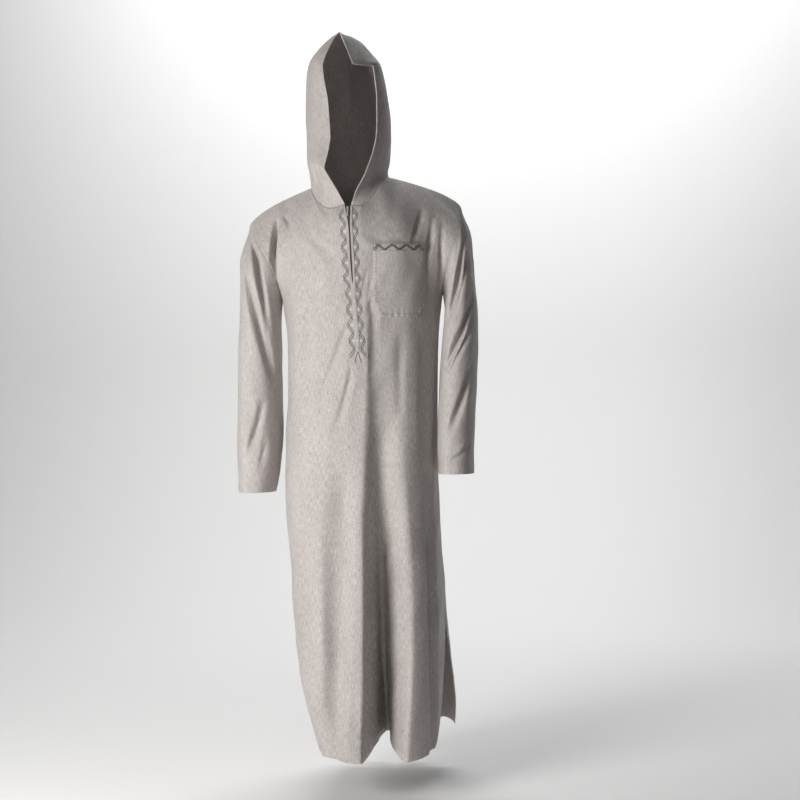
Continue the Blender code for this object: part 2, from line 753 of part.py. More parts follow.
def material(name, colour, roughness, metallic=0.0):
    made = bpy.data.materials.get(name) or bpy.data.materials.new(name)
    made.use_nodes = True
    shader = made.node_tree.nodes["Principled BSDF"]
    shader.inputs["Base Color"].default_value = colour
    shader.inputs["Roughness"].default_value = roughness
    shader.inputs["Metallic"].default_value = metallic
    return made


def show(name, points, faces, finish):
    """Makes one named object."""
    mesh = bpy.data.meshes.new(name)
    mesh.from_pydata([tuple(point) for point in points], [], faces)
    mesh.update()
    shaped = bmesh.new()
    shaped.from_mesh(mesh)
    bmesh.ops.recalc_face_normals(shaped, faces=shaped.faces)
    bmesh.ops.triangulate(shaped, faces=shaped.faces, quad_method="SHORT_EDGE")
    shaped.to_mesh(mesh)
    shaped.free()
    mesh.shade_smooth()
    mesh.set_sharp_from_angle(angle=math.radians(50))
    made = bpy.data.objects.new(name, mesh)
    bpy.context.scene.collection.objects.link(made)
    mesh.materials.append(finish)
    return made


def at(grid, row, column):
    """A point of a grid between its own points."""
    i, j = int(min(row, len(grid) - 2)), int(min(column, grid.shape[1] - 2))
    a, b = row - i, column - j
    return (grid[i, j] * (1 - b) + grid[i, j + 1] * b) * (1 - a) + (
        grid[i + 1, j] * (1 - b) + grid[i + 1, j + 1] * b
    ) * a


def row_at(grid, column, height):
    """The row number at which a column passes a height."""
    heights = grid[:, column, 2]
    k = int(np.argmax(heights < height)) - 1
    return k + (heights[k] - height) / (heights[k] - heights[k + 1])


def on_panel(grid, facing, places, lift, wall):
    """A trim that lies on a panel. places holds the row and column of each of its points, and
    each point is the panel's own, moved out by lift."""
    points = np.array([[at(grid, *place) for place in row] for row in places])
    turned = unit(np.array([[at(facing, *place) for place in row] for row in places]))
    down, across = points.shape[:2]
    faces = [
        [i * across + j, (i + 1) * across + j, (i + 1) * across + j + 1, i * across + j + 1]
        for i in range(down - 1)
        for j in range(across - 1)
    ]
    turned = turned.reshape(-1, 3)
    return walled(points.reshape(-1, 3) + turned * lift, turned, faces, wall)


def whole_between(low, high):
    return [float(k) for k in range(math.floor(low) + 1, math.ceil(high))]


def placket_band(front, facing, finish):
    """The narrow raised strip down the wearer's left side of the slit."""
    start = SHOULDER_STRIPS + NECK_STRIPS + 1
    foot = row_at(front, start, PLACKET_FOOT)
    narrow = row_at(front, start, ZIP_FOOT)
    rows = [0.12, *whole_between(0.12, foot), foot]
    places = []
    for row in rows:
        share = NARROW_BAND_SHARE if row < narrow - 0.5 else 0.98
        places.append([(row, start + 0.02), (row, start + share)])
    lift = WALL / 2 + SEAM_GAP + TRIM_WALL / 2
    points, faces = on_panel(front, facing, places, lift, TRIM_WALL)
    show("placket_band", points, faces, finish)


def zip_tape(front, facing, finish):
    """The tape behind the slit, as wide as both sides of a closed zip."""
    start = SHOULDER_STRIPS + NECK_STRIPS - 1
    foot = row_at(front, start, ZIP_FOOT - 0.012)
    rows = [0.25, *whole_between(0.25, foot), foot]
    columns = (start + 0.05, start + 1, start + 2, start + 2.95)
    places = [[(row, column) for column in columns] for row in rows]
    lift = -(WALL / 2 + SEAM_GAP + TRIM_WALL / 2)
    points, faces = on_panel(front, facing, places, lift, TRIM_WALL)
    show("zip_tape", points, faces, finish)


def chest_pocket(cloth, normals, finish):
    """A patch pocket on the wearer's left breast, with its lower corners cut off."""
    corner = POCKET_CORNER
    outline = [
        (POCKET_RIGHT, POCKET_TOP),
        (POCKET_RIGHT, POCKET_FOOT + corner),
        (POCKET_RIGHT + corner, POCKET_FOOT),
        (POCKET_LEFT - corner, POCKET_FOOT),
        (POCKET_LEFT, POCKET_FOOT + corner),
        (POCKET_LEFT, POCKET_TOP),
    ]
    lift = WALL / 2 + SEAM_GAP + TRIM_WALL / 2
    points, faces = cloth.patch("front", normals, outline, lift, TRIM_WALL)
    show("chest_pocket", points, faces, finish)


def pushed(outer, hole, low, high, axis):
    """A flat outline pushed from low to high along an axis, with a hole of as many points in it,
    or none. The outline's two coordinates are those of the other two axes."""
    count = len(outer)
    loops = [outer, hole] if hole else [outer]
    points = [
        np.insert(np.array(place, float), axis, level)
        for loop in loops
        for level in (low, high)
        for place in loop
    ]
    faces = []
    for first in range(0, len(points), 2 * count):
        for k in range(count):
            after = (k + 1) % count
            faces.append(
                [first + k, first + after, first + after + count, first + k + count]
            )
    for first in (0, count):
        if hole:
            for k in range(count):
                after = (k + 1) % count
                inner = first + 2 * count
                faces.append([first + k, first + after, inner + after, inner + k])
        else:
            faces.append(list(range(first, first + count)))
    return np.array(points), faces


def rectangle(half_width, low, high):
    return [(-half_width, low), (half_width, low), (half_width, high), (-half_width, high)]


def zip_slider(placed, finish):
    """The slider: a plate with a waist, and the loop on its face that holds the pull."""
    wide, thick, long = (size / 2 for size in SLIDER_SIZE)
    plate = [
        (-wide + SLIDER_WAIST, -long),
        (wide - SLIDER_WAIST, -long),
        (wide - SLIDER_WAIST, -long * 0.3),
        (wide, long * 0.3),
        (wide - SLIDER_WAIST, long),
        (-wide + SLIDER_WAIST, long),
        (-wide, long * 0.3),
        (-wide + SLIDER_WAIST, -long * 0.3),
    ]
    points, faces = pushed(plate, None, -thick, thick, 1)
    slider = show("zip_slider", placed(points), faces, finish)
    half, out = LOOP_LENGTH / 2, thick + LOOP_OPENING
    outer = [
        (-out - LOOP_WALL, -half),
        (-thick + LOOP_WALL, -half),
        (-thick + LOOP_WALL, half),
        (-out - LOOP_WALL, half),
    ]
    hole = [
        (-out, -half + LOOP_WALL),
        (-thick, -half + LOOP_WALL),
        (-thick, half - LOOP_WALL),
        (-out, half - LOOP_WALL),
    ]
    points, faces = pushed(outer, hole, -LOOP_WIDTH / 2, LOOP_WIDTH / 2, 0)
    loop = show("slider_loop", placed(points), faces, finish)
    loop.hide_render = True
    join = slider.modifiers.new("loop", "BOOLEAN")
    join.operation = "UNION"
    join.object = loop


def zip_pull(placed, finish):
    """The pull, which hangs from a bar in the slider's loop. The loop passes through its eye."""
    wide, bar = PULL_WIDTH / 2, EYE_BORDER / 2
    outer = rectangle(wide, -PULL_LENGTH, bar)
    hole = rectangle(wide - EYE_BORDER, -EYE_LENGTH, -bar)
    points, faces = pushed(outer, hole, -PULL_THICKNESS / 2, PULL_THICKNESS / 2, 1)
    points[:, 1:] += PULL_BAR_PLACE
    show("zip_pull", placed(points), faces, finish)


def main():
    for existing in list(bpy.data.objects):
        bpy.data.objects.remove(existing)

    front = body_panel(front_top(), front_level, -ARMHOLE_FORWARD, "front")
    back = body_panel(back_top(), back_level, ARMHOLE_BACKWARD, "back")
    narrow_the_slit(front)
    sewn = front[:, 0, 2] > SLIT_TOP
    sewn[:UPPER_ROWS] = False
    for column in (0, -1):
        back[sewn, column] = front[sewn, column]

    sleeve_right = sleeve(front, back, RIGHT_SLEEVE, CUFF_RIGHT, RIGHT_SLEEVE_FOLDS, "right")
    sleeve_left = sleeve(front, back, LEFT_SLEEVE, CUFF_LEFT, LEFT_SLEEVE_FOLDS, "left")

    slit = SHOULDER_STRIPS + NECK_STRIPS
    nape = SHOULDER_STRIPS + NAPE_STRIPS
    neck_right = np.concatenate(
        [front[0, slit : SHOULDER_STRIPS - 1 : -1], back[0, SHOULDER_STRIPS + 1 : nape + 1]]
    )
    last = front.shape[1] - 1 - SHOULDER_STRIPS
    neck_left = np.concatenate(
        [front[0, slit + 1 : last + 1], back[0, nape + NAPE_STRIPS - 1 : nape - 1 : -1]]
    )
    hood_right = hood_half(neck_right, HOOD_RIGHT)
    hood_left = hood_half(neck_left, HOOD_LEFT)

    cloth = Cloth()
    zip_rows = int(np.sum(front[: UPPER_ROWS + 1, slit, 2] > ZIP_FOOT))
    open_slit = {(row, slit) for row in range(zip_rows)}
    front_numbers = cloth.add("front", front, True, skip=open_slit)
    cloth.add("back", back, False)
    cloth.add("sleeve_right", sleeve_right, True, closed=True)
    cloth.add("sleeve_left", sleeve_left, False, closed=True)
    cloth.add("hood_right", hood_right, True)
    cloth.add("hood_left", hood_left, False)
    normals = cloth.normals()

    fabric = material("thobe_fabric", GREY, 0.85)
    trim = material("trim_fabric", GREY, 0.8)
    tape = material("zip_tape", DARK_GREY, 0.7)
    metal = material("zip_metal", METAL, 0.35, 1.0)
    for name in ("front", "back", "sleeve_right", "sleeve_left", "hood_right", "hood_left"):
        points, faces = cloth.shell(name, normals, WALL, SEAM_GAP)
        show(name, points, faces, fabric)

    facing = normals[front_numbers]
    placket_band(front, facing, trim)
    zip_tape(front, facing, tape)
    chest_pocket(cloth, normals, trim)

    row = row_at(front, slit, SLIDER_HEIGHT)
    up = unit((at(front, row - 0.2, slit + 0.5) - at(front, row + 0.2, slit + 0.5)) * (0, 1, 1))
    axes = np.array([(1.0, 0.0, 0.0), (0.0, up[2], -up[1]), up])
    rest = SLIDER_SIZE[1] / 2 + SLIDER_GAP - WALL / 2 - SEAM_GAP
    centre = at(front, row, slit + 0.5) - axes[1] * rest

    def placed(points):
        return centre + points @ axes

    zip_slider(placed, metal)
    zip_pull(placed, metal)


main()
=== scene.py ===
"""The looks of a long hooded thobe robe, hanging hollow as it is worn.

Metres, +Z up, in the frame of the solids. The wearer faces -Y, so the wearer's left is +X.
"""

import itertools
import math

import bpy
import numpy as np
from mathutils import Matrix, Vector
from mathutils.bvhtree import BVHTree


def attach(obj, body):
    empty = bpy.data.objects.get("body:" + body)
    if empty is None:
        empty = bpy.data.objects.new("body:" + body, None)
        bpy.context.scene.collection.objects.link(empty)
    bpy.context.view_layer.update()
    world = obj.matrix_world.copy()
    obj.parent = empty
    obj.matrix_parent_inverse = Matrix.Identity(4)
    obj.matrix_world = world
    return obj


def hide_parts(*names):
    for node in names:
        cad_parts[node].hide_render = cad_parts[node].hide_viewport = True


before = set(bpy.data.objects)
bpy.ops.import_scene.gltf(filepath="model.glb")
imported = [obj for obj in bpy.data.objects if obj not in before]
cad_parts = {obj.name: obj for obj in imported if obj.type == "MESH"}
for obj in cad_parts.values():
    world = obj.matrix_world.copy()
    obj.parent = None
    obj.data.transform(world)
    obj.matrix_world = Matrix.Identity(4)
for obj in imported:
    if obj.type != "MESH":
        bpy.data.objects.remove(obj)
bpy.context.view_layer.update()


# Front and back panels
# Two lengths of light grey suiting, cut wide and nearly straight, joined at the shoulders and
# down the sides to the top of the side slits. Their fullness falls in long folds from the chest,
# the deepest of them between the knees.
CLOTH = 0.0010
UNDERARM = -0.28
HEM = -1.372
SLIT_TOP = -1.09
HEM_DEPTH = 0.022
HEM_ROWS = 8
UPPER_ROWS = 72
LOWER_ROWS = 144
SHOULDER_STRIPS = 40
NECK_STRIPS = 60
NAPE_STRIPS = 24
FINE = 1200
ROW_SPREAD = 1.3
SLIT = SHOULDER_STRIPS + NECK_STRIPS
SLIT_REACH = 14
SLIT_CALM = 9
FRONT_ROUNDS = 420
BACK_ROUNDS = 260
CORNER_STEPS = 12
EASED_BELOW = 55
EASED_OVER = 50

# The body's cross-sections. right and left are how far it reaches to the wearer's right and
# left, front and back how far forward and back, and seam is the depth of the side seams.
BODY_SECTIONS = (
    # height, right, left, left of the back panel, front, back, seam, square
    (-0.28, -0.187, 0.213, 0.213, -0.132, 0.118, 0.010, 2.2),
    (-0.36, -0.176, 0.203, 0.203, -0.138, 0.114, 0.008, 2.2),
    (-0.44, -0.168, 0.199, 0.199, -0.141, 0.112, 0.006, 2.2),
    (-0.54, -0.174, 0.196, 0.196, -0.144, 0.120, 0.006, 2.3),
    (-0.67, -0.180, 0.193, 0.193, -0.147, 0.136, 0.008, 2.3),
    (-0.76, -0.181, 0.193, 0.193, -0.150, 0.148, 0.010, 2.4),
    (-0.84, -0.177, 0.195, 0.195, -0.154, 0.158, 0.012, 2.4),
    (-0.92, -0.169, 0.198, 0.198, -0.160, 0.168, 0.015, 2.5),
    (-1.03, -0.164, 0.202, 0.202, -0.170, 0.182, 0.020, 2.6),
    (-1.16, -0.152, 0.204, 0.211, -0.182, 0.200, 0.025, 2.8),
    (-1.26, -0.132, 0.203, 0.217, -0.192, 0.215, 0.028, 3.0),
    (-1.33, -0.112, 0.203, 0.219, -0.198, 0.224, 0.030, 3.0),
    (-1.38, -0.098, 0.202, 0.216, -0.201, 0.230, 0.030, 3.0),
)

# How far the side slits have swung open, as an angle round the section from the seam
SLIT_OPENING = (
    # height, front edge at the left, back edge at the left, both edges at the right
    (-1.09, 0.0, 0.0, 0.0),
    (-1.18, 5.0, 4.0, 1.0),
    (-1.27, 10.0, 10.0, 2.0),
    (-1.33, 18.0, 16.0, 3.0),
    (-1.38, 26.0, 20.0, 4.0),
)

# The line down the middle of the front, where the placket is, and below it the main ridge
FRONT_LINE = (
    # height, x
    (-0.06, 0.0045),
    (-0.105, 0.008),
    (-0.173, 0.0115),
    (-0.254, 0.017),
    (-0.332, 0.0215),
    (-0.43, 0.029),
    (-0.55, 0.032),
    (-0.92, 0.033),
    (-1.20, 0.037),
    (-1.38, 0.040),
)

# The body's long folds. Each is a trough that runs down the cloth: x is its bottom,
# towards_right and towards_left are how wide it is on either side of it, measured along the
# cloth, and flat is the share of that width which is its floor.
FRONT_FOLDS = {
    "between the knees": (
        # height, x, towards_right, towards_left, depth, flat
        (-0.30, 0.072, 0.024, 0.030, 0.000, 0.0),
        (-0.36, 0.077, 0.026, 0.050, 0.010, 0.0),
        (-0.44, 0.082, 0.034, 0.060, 0.019, 0.0),
        (-0.55, 0.080, 0.040, 0.060, 0.024, 0.0),
        (-0.67, 0.0785, 0.043, 0.063, 0.030, 0.0),
        (-0.80, 0.078, 0.048, 0.070, 0.052, 0.05),
        (-0.92, 0.079, 0.048, 0.078, 0.085, 0.10),
        (-1.05, 0.081, 0.049, 0.078, 0.115, 0.15),
        (-1.20, 0.079, 0.047, 0.074, 0.155, 0.25),
        (-1.30, 0.076, 0.046, 0.070, 0.185, 0.32),
        (-1.38, 0.074, 0.045, 0.066, 0.205, 0.38),
    ),
    "right thigh": (
        (-0.62, -0.012, 0.050, 0.040, 0.000, 0.0),
        (-0.80, -0.018, 0.055, 0.042, 0.013, 0.0),
        (-0.95, -0.021, 0.050, 0.040, 0.016, 0.0),
        (-1.20, -0.028, 0.045, 0.036, 0.018, 0.0),
        (-1.38, -0.036, 0.045, 0.036, 0.010, 0.0),
    ),
    "left flank": (
        (-0.70, 0.180, 0.030, 0.030, 0.000, 0.0),
        (-0.86, 0.183, 0.028, 0.030, 0.012, 0.0),
        (-1.05, 0.188, 0.030, 0.030, 0.018, 0.0),
        (-1.22, 0.190, 0.030, 0.030, 0.016, 0.0),
        (-1.38, 0.188, 0.026, 0.030, 0.008, 0.0),
    ),
}
BACK_FOLDS = {
    # columns as in FRONT_FOLDS
    "back right": (
        (-0.36, -0.085, 0.040, 0.040, 0.000, 0.0),
        (-0.60, -0.092, 0.044, 0.044, 0.022, 0.0),
        (-0.90, -0.090, 0.046, 0.046, 0.042, 0.1),
        (-1.20, -0.072, 0.044, 0.042, 0.055, 0.1),
        (-1.38, -0.050, 0.038, 0.038, 0.060, 0.1),
    ),
    "back middle": (
        (-0.44, 0.012, 0.042, 0.042, 0.000, 0.0),
        (-0.65, 0.010, 0.046, 0.046, 0.026, 0.0),
        (-0.95, 0.018, 0.048, 0.048, 0.050, 0.1),
        (-1.20, 0.036, 0.046, 0.044, 0.062, 0.1),
        (-1.38, 0.048, 0.042, 0.040, 0.066, 0.1),
    ),
    "back left": (
        (-0.34, 0.112, 0.042, 0.040, 0.000, 0.0),
        (-0.58, 0.116, 0.046, 0.042, 0.024, 0.0),
        (-0.90, 0.124, 0.046, 0.044, 0.044, 0.1),
        (-1.20, 0.136, 0.042, 0.040, 0.052, 0.1),
        (-1.38, 0.142, 0.040, 0.038, 0.056, 0.1),
    ),
}
FOLD_FREE_SEAM = 0.035
LOOSE_BELOW_SLIT = 0.15
HEM_RISE = 0.15
BACK_HEM_RISE = 0.022
BACK_RISE_FROM = 0.08
BACK_RISE_OVER = 0.10

# The neckline, by the direction from the neck's middle: 0 is forward, 90 the wearer's left
NECKLINE = (
    # direction, x, y, z
    (-90, -0.106, 0.018, -0.004),
    (-72, -0.102, -0.022, -0.016),
    (-55, -0.089, -0.055, -0.038),
    (-40, -0.071, -0.079, -0.057),
    (-27, -0.050, -0.095, -0.071),
    (-14, -0.025, -0.105, -0.072),
    (0, 0.000, -0.109, -0.067),
    (8, 0.013, -0.109, -0.069),
    (16, 0.028, -0.107, -0.070),
    (28, 0.049, -0.097, -0.061),
    (42, 0.066, -0.077, -0.037),
    (60, 0.077, -0.045, -0.007),
    (75, 0.081, -0.014, 0.008),
    (90, 0.082, 0.018, 0.013),
    (135, 0.054, 0.066, 0.010),
    (180, -0.014, 0.086, 0.008),
    (225, -0.080, 0.066, 0.001),
    (270, -0.106, 0.018, -0.004),
)
SLIT_DIRECTION = 2.8
DEGREES_PER_METRE = 560
ZIP_FOOT = -0.254
SLIT_WIDTHS = (
    # height, half width of the slit
    (-0.067, 0.0072),
    (-0.088, 0.0050),
    (-0.105, 0.0028),
    (-0.139, 0.0017),
    (-0.173, 0.0019),
    (-0.200, 0.0020),
    (-0.254, 0.0011),
    (-0.285, 0.0011),
)

# Where the shoulder seams end and the armholes run, on the wearer's right and left
SHOULDER_RIGHT = (-0.267, 0.010, -0.092)
SHOULDER_LEFT = (0.261, 0.010, -0.068)
SHOULDER_ARCH = 0.014
ARMHOLE_FORWARD = 0.062
ARMHOLE_BACKWARD = 0.072
ARMHOLE_INWARD_RIGHT = 0.016
ARMHOLE_INWARD_LEFT = -0.011
ARMHOLE_SWAY_RIGHT = -0.003
ARMHOLE_SWAY_LEFT = 0.007
ARMHOLE_FADE = 8
CHEST_CURVE = 0.44
CHEST_FULLNESS = 0.10
CORNER_SOFTENING = 31


def through(table, keys):
    """A table's other columns at keys in its first column, on smooth curves through its rows."""
    rows = np.array(table, float)
    rows = rows[np.argsort(rows[:, 0], kind="stable")]
    known, values = rows[:, 0], rows[:, 1:]
    slopes = np.gradient(values, known, axis=0)
    keys = np.clip(np.asarray(keys, float), known[0], known[-1])
    at = np.clip(np.searchsorted(known, keys, side="right") - 1, 0, len(known) - 2)
    span = known[at + 1] - known[at]
    t = ((keys - known[at]) / span)[..., None]
    span = span[..., None]
    return (
        (2 * t**3 - 3 * t**2 + 1) * values[at]
        + (t**3 - 2 * t**2 + t) * span * slopes[at]
        + (3 * t**2 - 2 * t**3) * values[at + 1]
        + (t**3 - t**2) * span * slopes[at + 1]
    )


def bell(distance, flat=0.0):
    """1 in the middle of a fold, out to the share of it that is flat, and 0 from 1 on."""
    past = np.clip((np.abs(distance) - flat) / (1 - flat), 0, 1)
    return 0.5 + 0.5 * np.cos(np.pi * past)


def ease(t):
    """0 up to 0 and 1 from 1 on, with a smooth rise between."""
    t = np.clip(t, 0, 1)
    return t * t * (3 - 2 * t)


def off_ends(count, reach):
    """0 at both ends of a row of points, and 1 from reach points in."""
    place = np.arange(count)
    return ease(place / reach) * ease((count - 1 - place) / reach)


def unit(vectors):
    length = np.linalg.norm(vectors, axis=-1, keepdims=True)
    return vectors / np.maximum(length, 1e-12)


def along(points):
    """How far along a line of points each of them lies."""
    steps = np.linalg.norm(np.diff(points, axis=0), axis=1)
    return np.concatenate([[0.0], np.cumsum(steps)])


def between(keys, known, values):
    """Each column of values at keys, on straight lines between what is known."""
    return np.stack([np.interp(keys, known, values[:, k]) for k in range(values.shape[1])], 1)


def spaced(points, distances):
    """The points that lie at these distances along a line of points."""
    return between(distances, along(points), points)


def section(height, face):
    """One level of the body's front or back, from the right seam to the left, close together."""
    right, left, left_of_back, front, back, seam, square = through(BODY_SECTIONS, height)
    end_of_front, end_of_back, both_right = np.radians(through(SLIT_OPENING, height))
    if face == "front":
        extent, end, folds = front, end_of_front, FRONT_FOLDS
    else:
        left, extent, end, folds = left_of_back, back, end_of_back, BACK_FOLDS
    angle = np.linspace(both_right, math.pi - end, FINE)
    cosine, sine = np.cos(angle), np.sin(angle)
    x = (right + left) / 2 - (left - right) / 2 * np.sign(cosine) * np.abs(cosine) ** (2 / square)
    y = seam + (extent - seam) * np.abs(sine) ** (2 / square)
    level = np.stack([x, y], 1)
    level = spaced(level, np.linspace(0, along(level)[-1], FINE))
    tangent = np.gradient(level, axis=0)
    inward = unit(np.stack([-tangent[:, 1], tangent[:, 0]], 1))
    if face == "back":
        inward = -inward
    so_far = along(level)
    depth = np.zeros(FINE)
    for fold in folds.values():
        if not fold[-1][0] <= height <= fold[0][0]:
            continue
        bottom, towards_right, towards_left, deep, flat = through(fold, height)
        off = so_far - np.interp(bottom, level[:, 0], so_far)
        depth += deep * bell(off / np.where(off < 0, towards_right, towards_left), max(flat, 0))
    held = ease(np.minimum(so_far, so_far[-1] - so_far) / FOLD_FREE_SEAM)
    loose = ease((SLIT_TOP - height) / LOOSE_BELOW_SLIT)
    level = level + inward * (depth * np.maximum(held, loose))[:, None]
    return np.column_stack([level, np.full(FINE, height)])


def front_level(height):
    """One row of the front panel: the columns from the right seam to the left."""
    level = section(height, "front")
    so_far = along(level)
    middle = through(FRONT_LINE, height)[0]
    facing = np.flatnonzero(level[:, 1] < 0)
    nearest = facing[np.argmin(np.abs(level[facing, 0] - middle))]
    centre, slit = so_far[nearest], through(SLIT_WIDTHS, height)[0]
    right = np.linspace(0, centre - slit, SLIT + 1)
    left = np.linspace(centre + slit, so_far[-1], SLIT + 1)
    return spaced(level, np.concatenate([right, left]))


def back_level(height):
    """One row of the back panel: the columns from the right seam to the left."""
    level = section(height, "back")
    strips = 2 * (SHOULDER_STRIPS + NAPE_STRIPS)
    return spaced(level, np.linspace(0, along(level)[-1], strips + 1))


def neckline(directions):
    """Points of the neckline by their direction in degrees from the neck's middle."""
    return through(NECKLINE, np.asarray(directions, float))


def shoulder_seam(neck_point, end):
    """The shoulder seam from its outer end to the neck, both ends included."""
    t = np.linspace(0, 1, SHOULDER_STRIPS + 1)[:, None]
    line = np.array(end) * (1 - t) + neck_point * t
    line[:, 2] += SHOULDER_ARCH * np.sin(np.pi * t[:, 0] ** 0.6)
    return line


def panel_top(right, left):
    """A panel's upper edge: a shoulder seam, its part of the neckline, and the other seam."""
    return np.concatenate(
        [
            shoulder_seam(right[0], SHOULDER_RIGHT)[:-1],
            right,
            left,
            shoulder_seam(left[-1], SHOULDER_LEFT)[::-1][1:],
        ]
    )


def armhole(shoulder, underarm, bow, bulge, sway):
    """An armhole's front or back edge, from the shoulder down to the underarm."""
    t = np.linspace(0, 1, UPPER_ROWS + 1) ** ROW_SPREAD
    line = np.array(shoulder) + np.outer(t, np.array(underarm) - np.array(shoulder))
    line[:, 1] += bow * np.sin(np.pi * t)
    line[:, 0] += bulge * np.sin(np.pi * t) + sway * np.sin(2 * np.pi * t)
    return line


def softened_tops(top):
    """The upper edge for each row, with the corners of its depth and height rounded more and
    more on the way down, and its ends held."""
    tops, line, done = [], top.copy(), 0
    for row in range(UPPER_ROWS + 1):
        coarse = row / UPPER_ROWS * CORNER_STEPS
        wanted = int(CORNER_SOFTENING * coarse * (coarse + 2))
        for _ in range(wanted - done):
            line[1:-1, 1:] = (line[:-2, 1:] + 2 * line[1:-1, 1:] + line[2:, 1:]) / 4
        done = wanted
        tops.append(line.copy())
    return np.stack(tops)


def upper_body(top, bottom, bow):
    """The panel above the underarm, spanned between its four edges."""
    share = np.linspace(0, 1, len(top))[None, :, None]
    t = (np.linspace(0, 1, UPPER_ROWS + 1) ** ROW_SPREAD)[:, None, None]
    fuller = t**CHEST_CURVE + CHEST_FULLNESS * np.sin(np.pi * t)
    tops = softened_tops(top)
    panel = tops * (1 - t) + bottom[None] * t
    panel[:, :, 1:2] = tops[:, :, 1:2] + (bottom[None] - tops)[:, :, 1:2] * fuller
    for column, bulge, sway, weight in (
        (0, ARMHOLE_INWARD_RIGHT, ARMHOLE_SWAY_RIGHT, 1 - share),
        (-1, -ARMHOLE_INWARD_LEFT, ARMHOLE_SWAY_LEFT, share),
    ):
        wanted = armhole(top[column], bottom[column], bow, bulge, sway)
        panel += (wanted - panel[:, column])[:, None] * weight ** (3 + ARMHOLE_FADE * t * t)
    return panel


def narrow_the_slit(front):
    """Brings the slit's two sides as close as it is wide at each height, and what is beside
    them with them."""
    reach = np.clip(1 - np.arange(SLIT + 1) / SLIT_REACH, 0, 1)[:, None]
    for row in front[: UPPER_ROWS + 1]:
        middle = (row[SLIT] + row[SLIT + 1]) / 2
        across = unit(row[SLIT + 1] - row[SLIT])
        slit = through(SLIT_WIDTHS, middle[2])[0]
        row[SLIT::-1] += (middle - across * slit - row[SLIT]) * reach
        row[SLIT + 1 :] += (middle + across * slit - row[SLIT + 1]) * reach


def body_panel(top, level_at, bow, face):
    """A whole front or back panel as rows of points from its top edge to its hem."""
    above = np.linspace(UNDERARM, HEM + HEM_DEPTH, LOWER_ROWS - HEM_ROWS + 1)
    heights = np.concatenate([above, np.linspace(above[-1], HEM, HEM_ROWS + 1)[1:]])
    lower = np.stack([level_at(height) for height in heights])
    forward = lower[:, :, 1].min(axis=1, keepdims=True)
    near_hem = ease((SLIT_TOP - lower[:, :1, 2]) / (SLIT_TOP - HEM))
    if face == "front":
        lower[:, :, 2] += HEM_RISE * (lower[:, :, 1] - forward) * near_hem
    else:
        towards_left = ease((lower[:, :, 0] - BACK_RISE_FROM) / BACK_RISE_OVER)
        lower[:, :, 2] += BACK_HEM_RISE * towards_left * near_hem
    upper = upper_body(top, lower[0], bow)
    return np.concatenate([upper[:-1], lower])


slit_turn = SLIT_WIDTHS[0][1] * DEGREES_PER_METRE
neck_right_front = neckline(np.linspace(-90, SLIT_DIRECTION - slit_turn, NECK_STRIPS + 1))
neck_left_front = neckline(np.linspace(SLIT_DIRECTION + slit_turn, 90, NECK_STRIPS + 1))
nape_right = neckline(np.linspace(270, 180, NAPE_STRIPS + 1))
nape_left = neckline(np.linspace(180, 90, NAPE_STRIPS + 1))[1:]
front = body_panel(
    panel_top(neck_right_front, neck_left_front), front_level, -ARMHOLE_FORWARD, "front"
)
back = body_panel(panel_top(nape_right, nape_left), back_level, ARMHOLE_BACKWARD, "back")
narrow_the_slit(front)
sewn = front[:, 0, 2] > SLIT_TOP
sewn[:UPPER_ROWS] = False
for column in (0, -1):
    back[sewn, column] = front[sewn, column]


def eased(panel, rounds, held_column=None):
    """Evens out the depth of a panel's upper part, and how its columns are spaced, as cloth
    under its own weight does. The neck, the shoulders and the armholes hold it."""
    give = ease((UPPER_ROWS + EASED_BELOW - np.arange(len(panel))) / EASED_OVER)[1:-1, None]
    if held_column:
        off = np.abs(np.arange(1, panel.shape[1] - 1) - held_column - 0.5)
        give = give * ease((off - SLIT_CALM) / SLIT_REACH)[None]
    flat = panel[:, :, :2]
    for _ in range(rounds):
        around = flat[:-2, 1:-1] + flat[2:, 1:-1] + flat[1:-1, :-2] + flat[1:-1, 2:]
        flat[1:-1, 1:-1] += (around / 4 - flat[1:-1, 1:-1]) * give[:, :, None]


eased(front, FRONT_ROUNDS, SLIT)
eased(back, BACK_ROUNDS)


# Creases
# The cloth is thin and smooth, so it is full of small creases: where it is pulled by the
# placket, where the arms hang, and where it falls from the chest. Each is pressed in along its
# own path, steeper on one side than on the other.
FORWARD = np.array([0.0, -1.0, 0.0])
BACKWARD = -FORWARD
PATH_POINTS = 60
WAVES = 14


def smooth_path(points, count):
    """count points on a smooth curve through a short list of points."""
    keys = np.arange(len(points))[:, None]
    return through(np.hstack([keys, np.array(points, float)]), np.linspace(0, len(points) - 1, count))


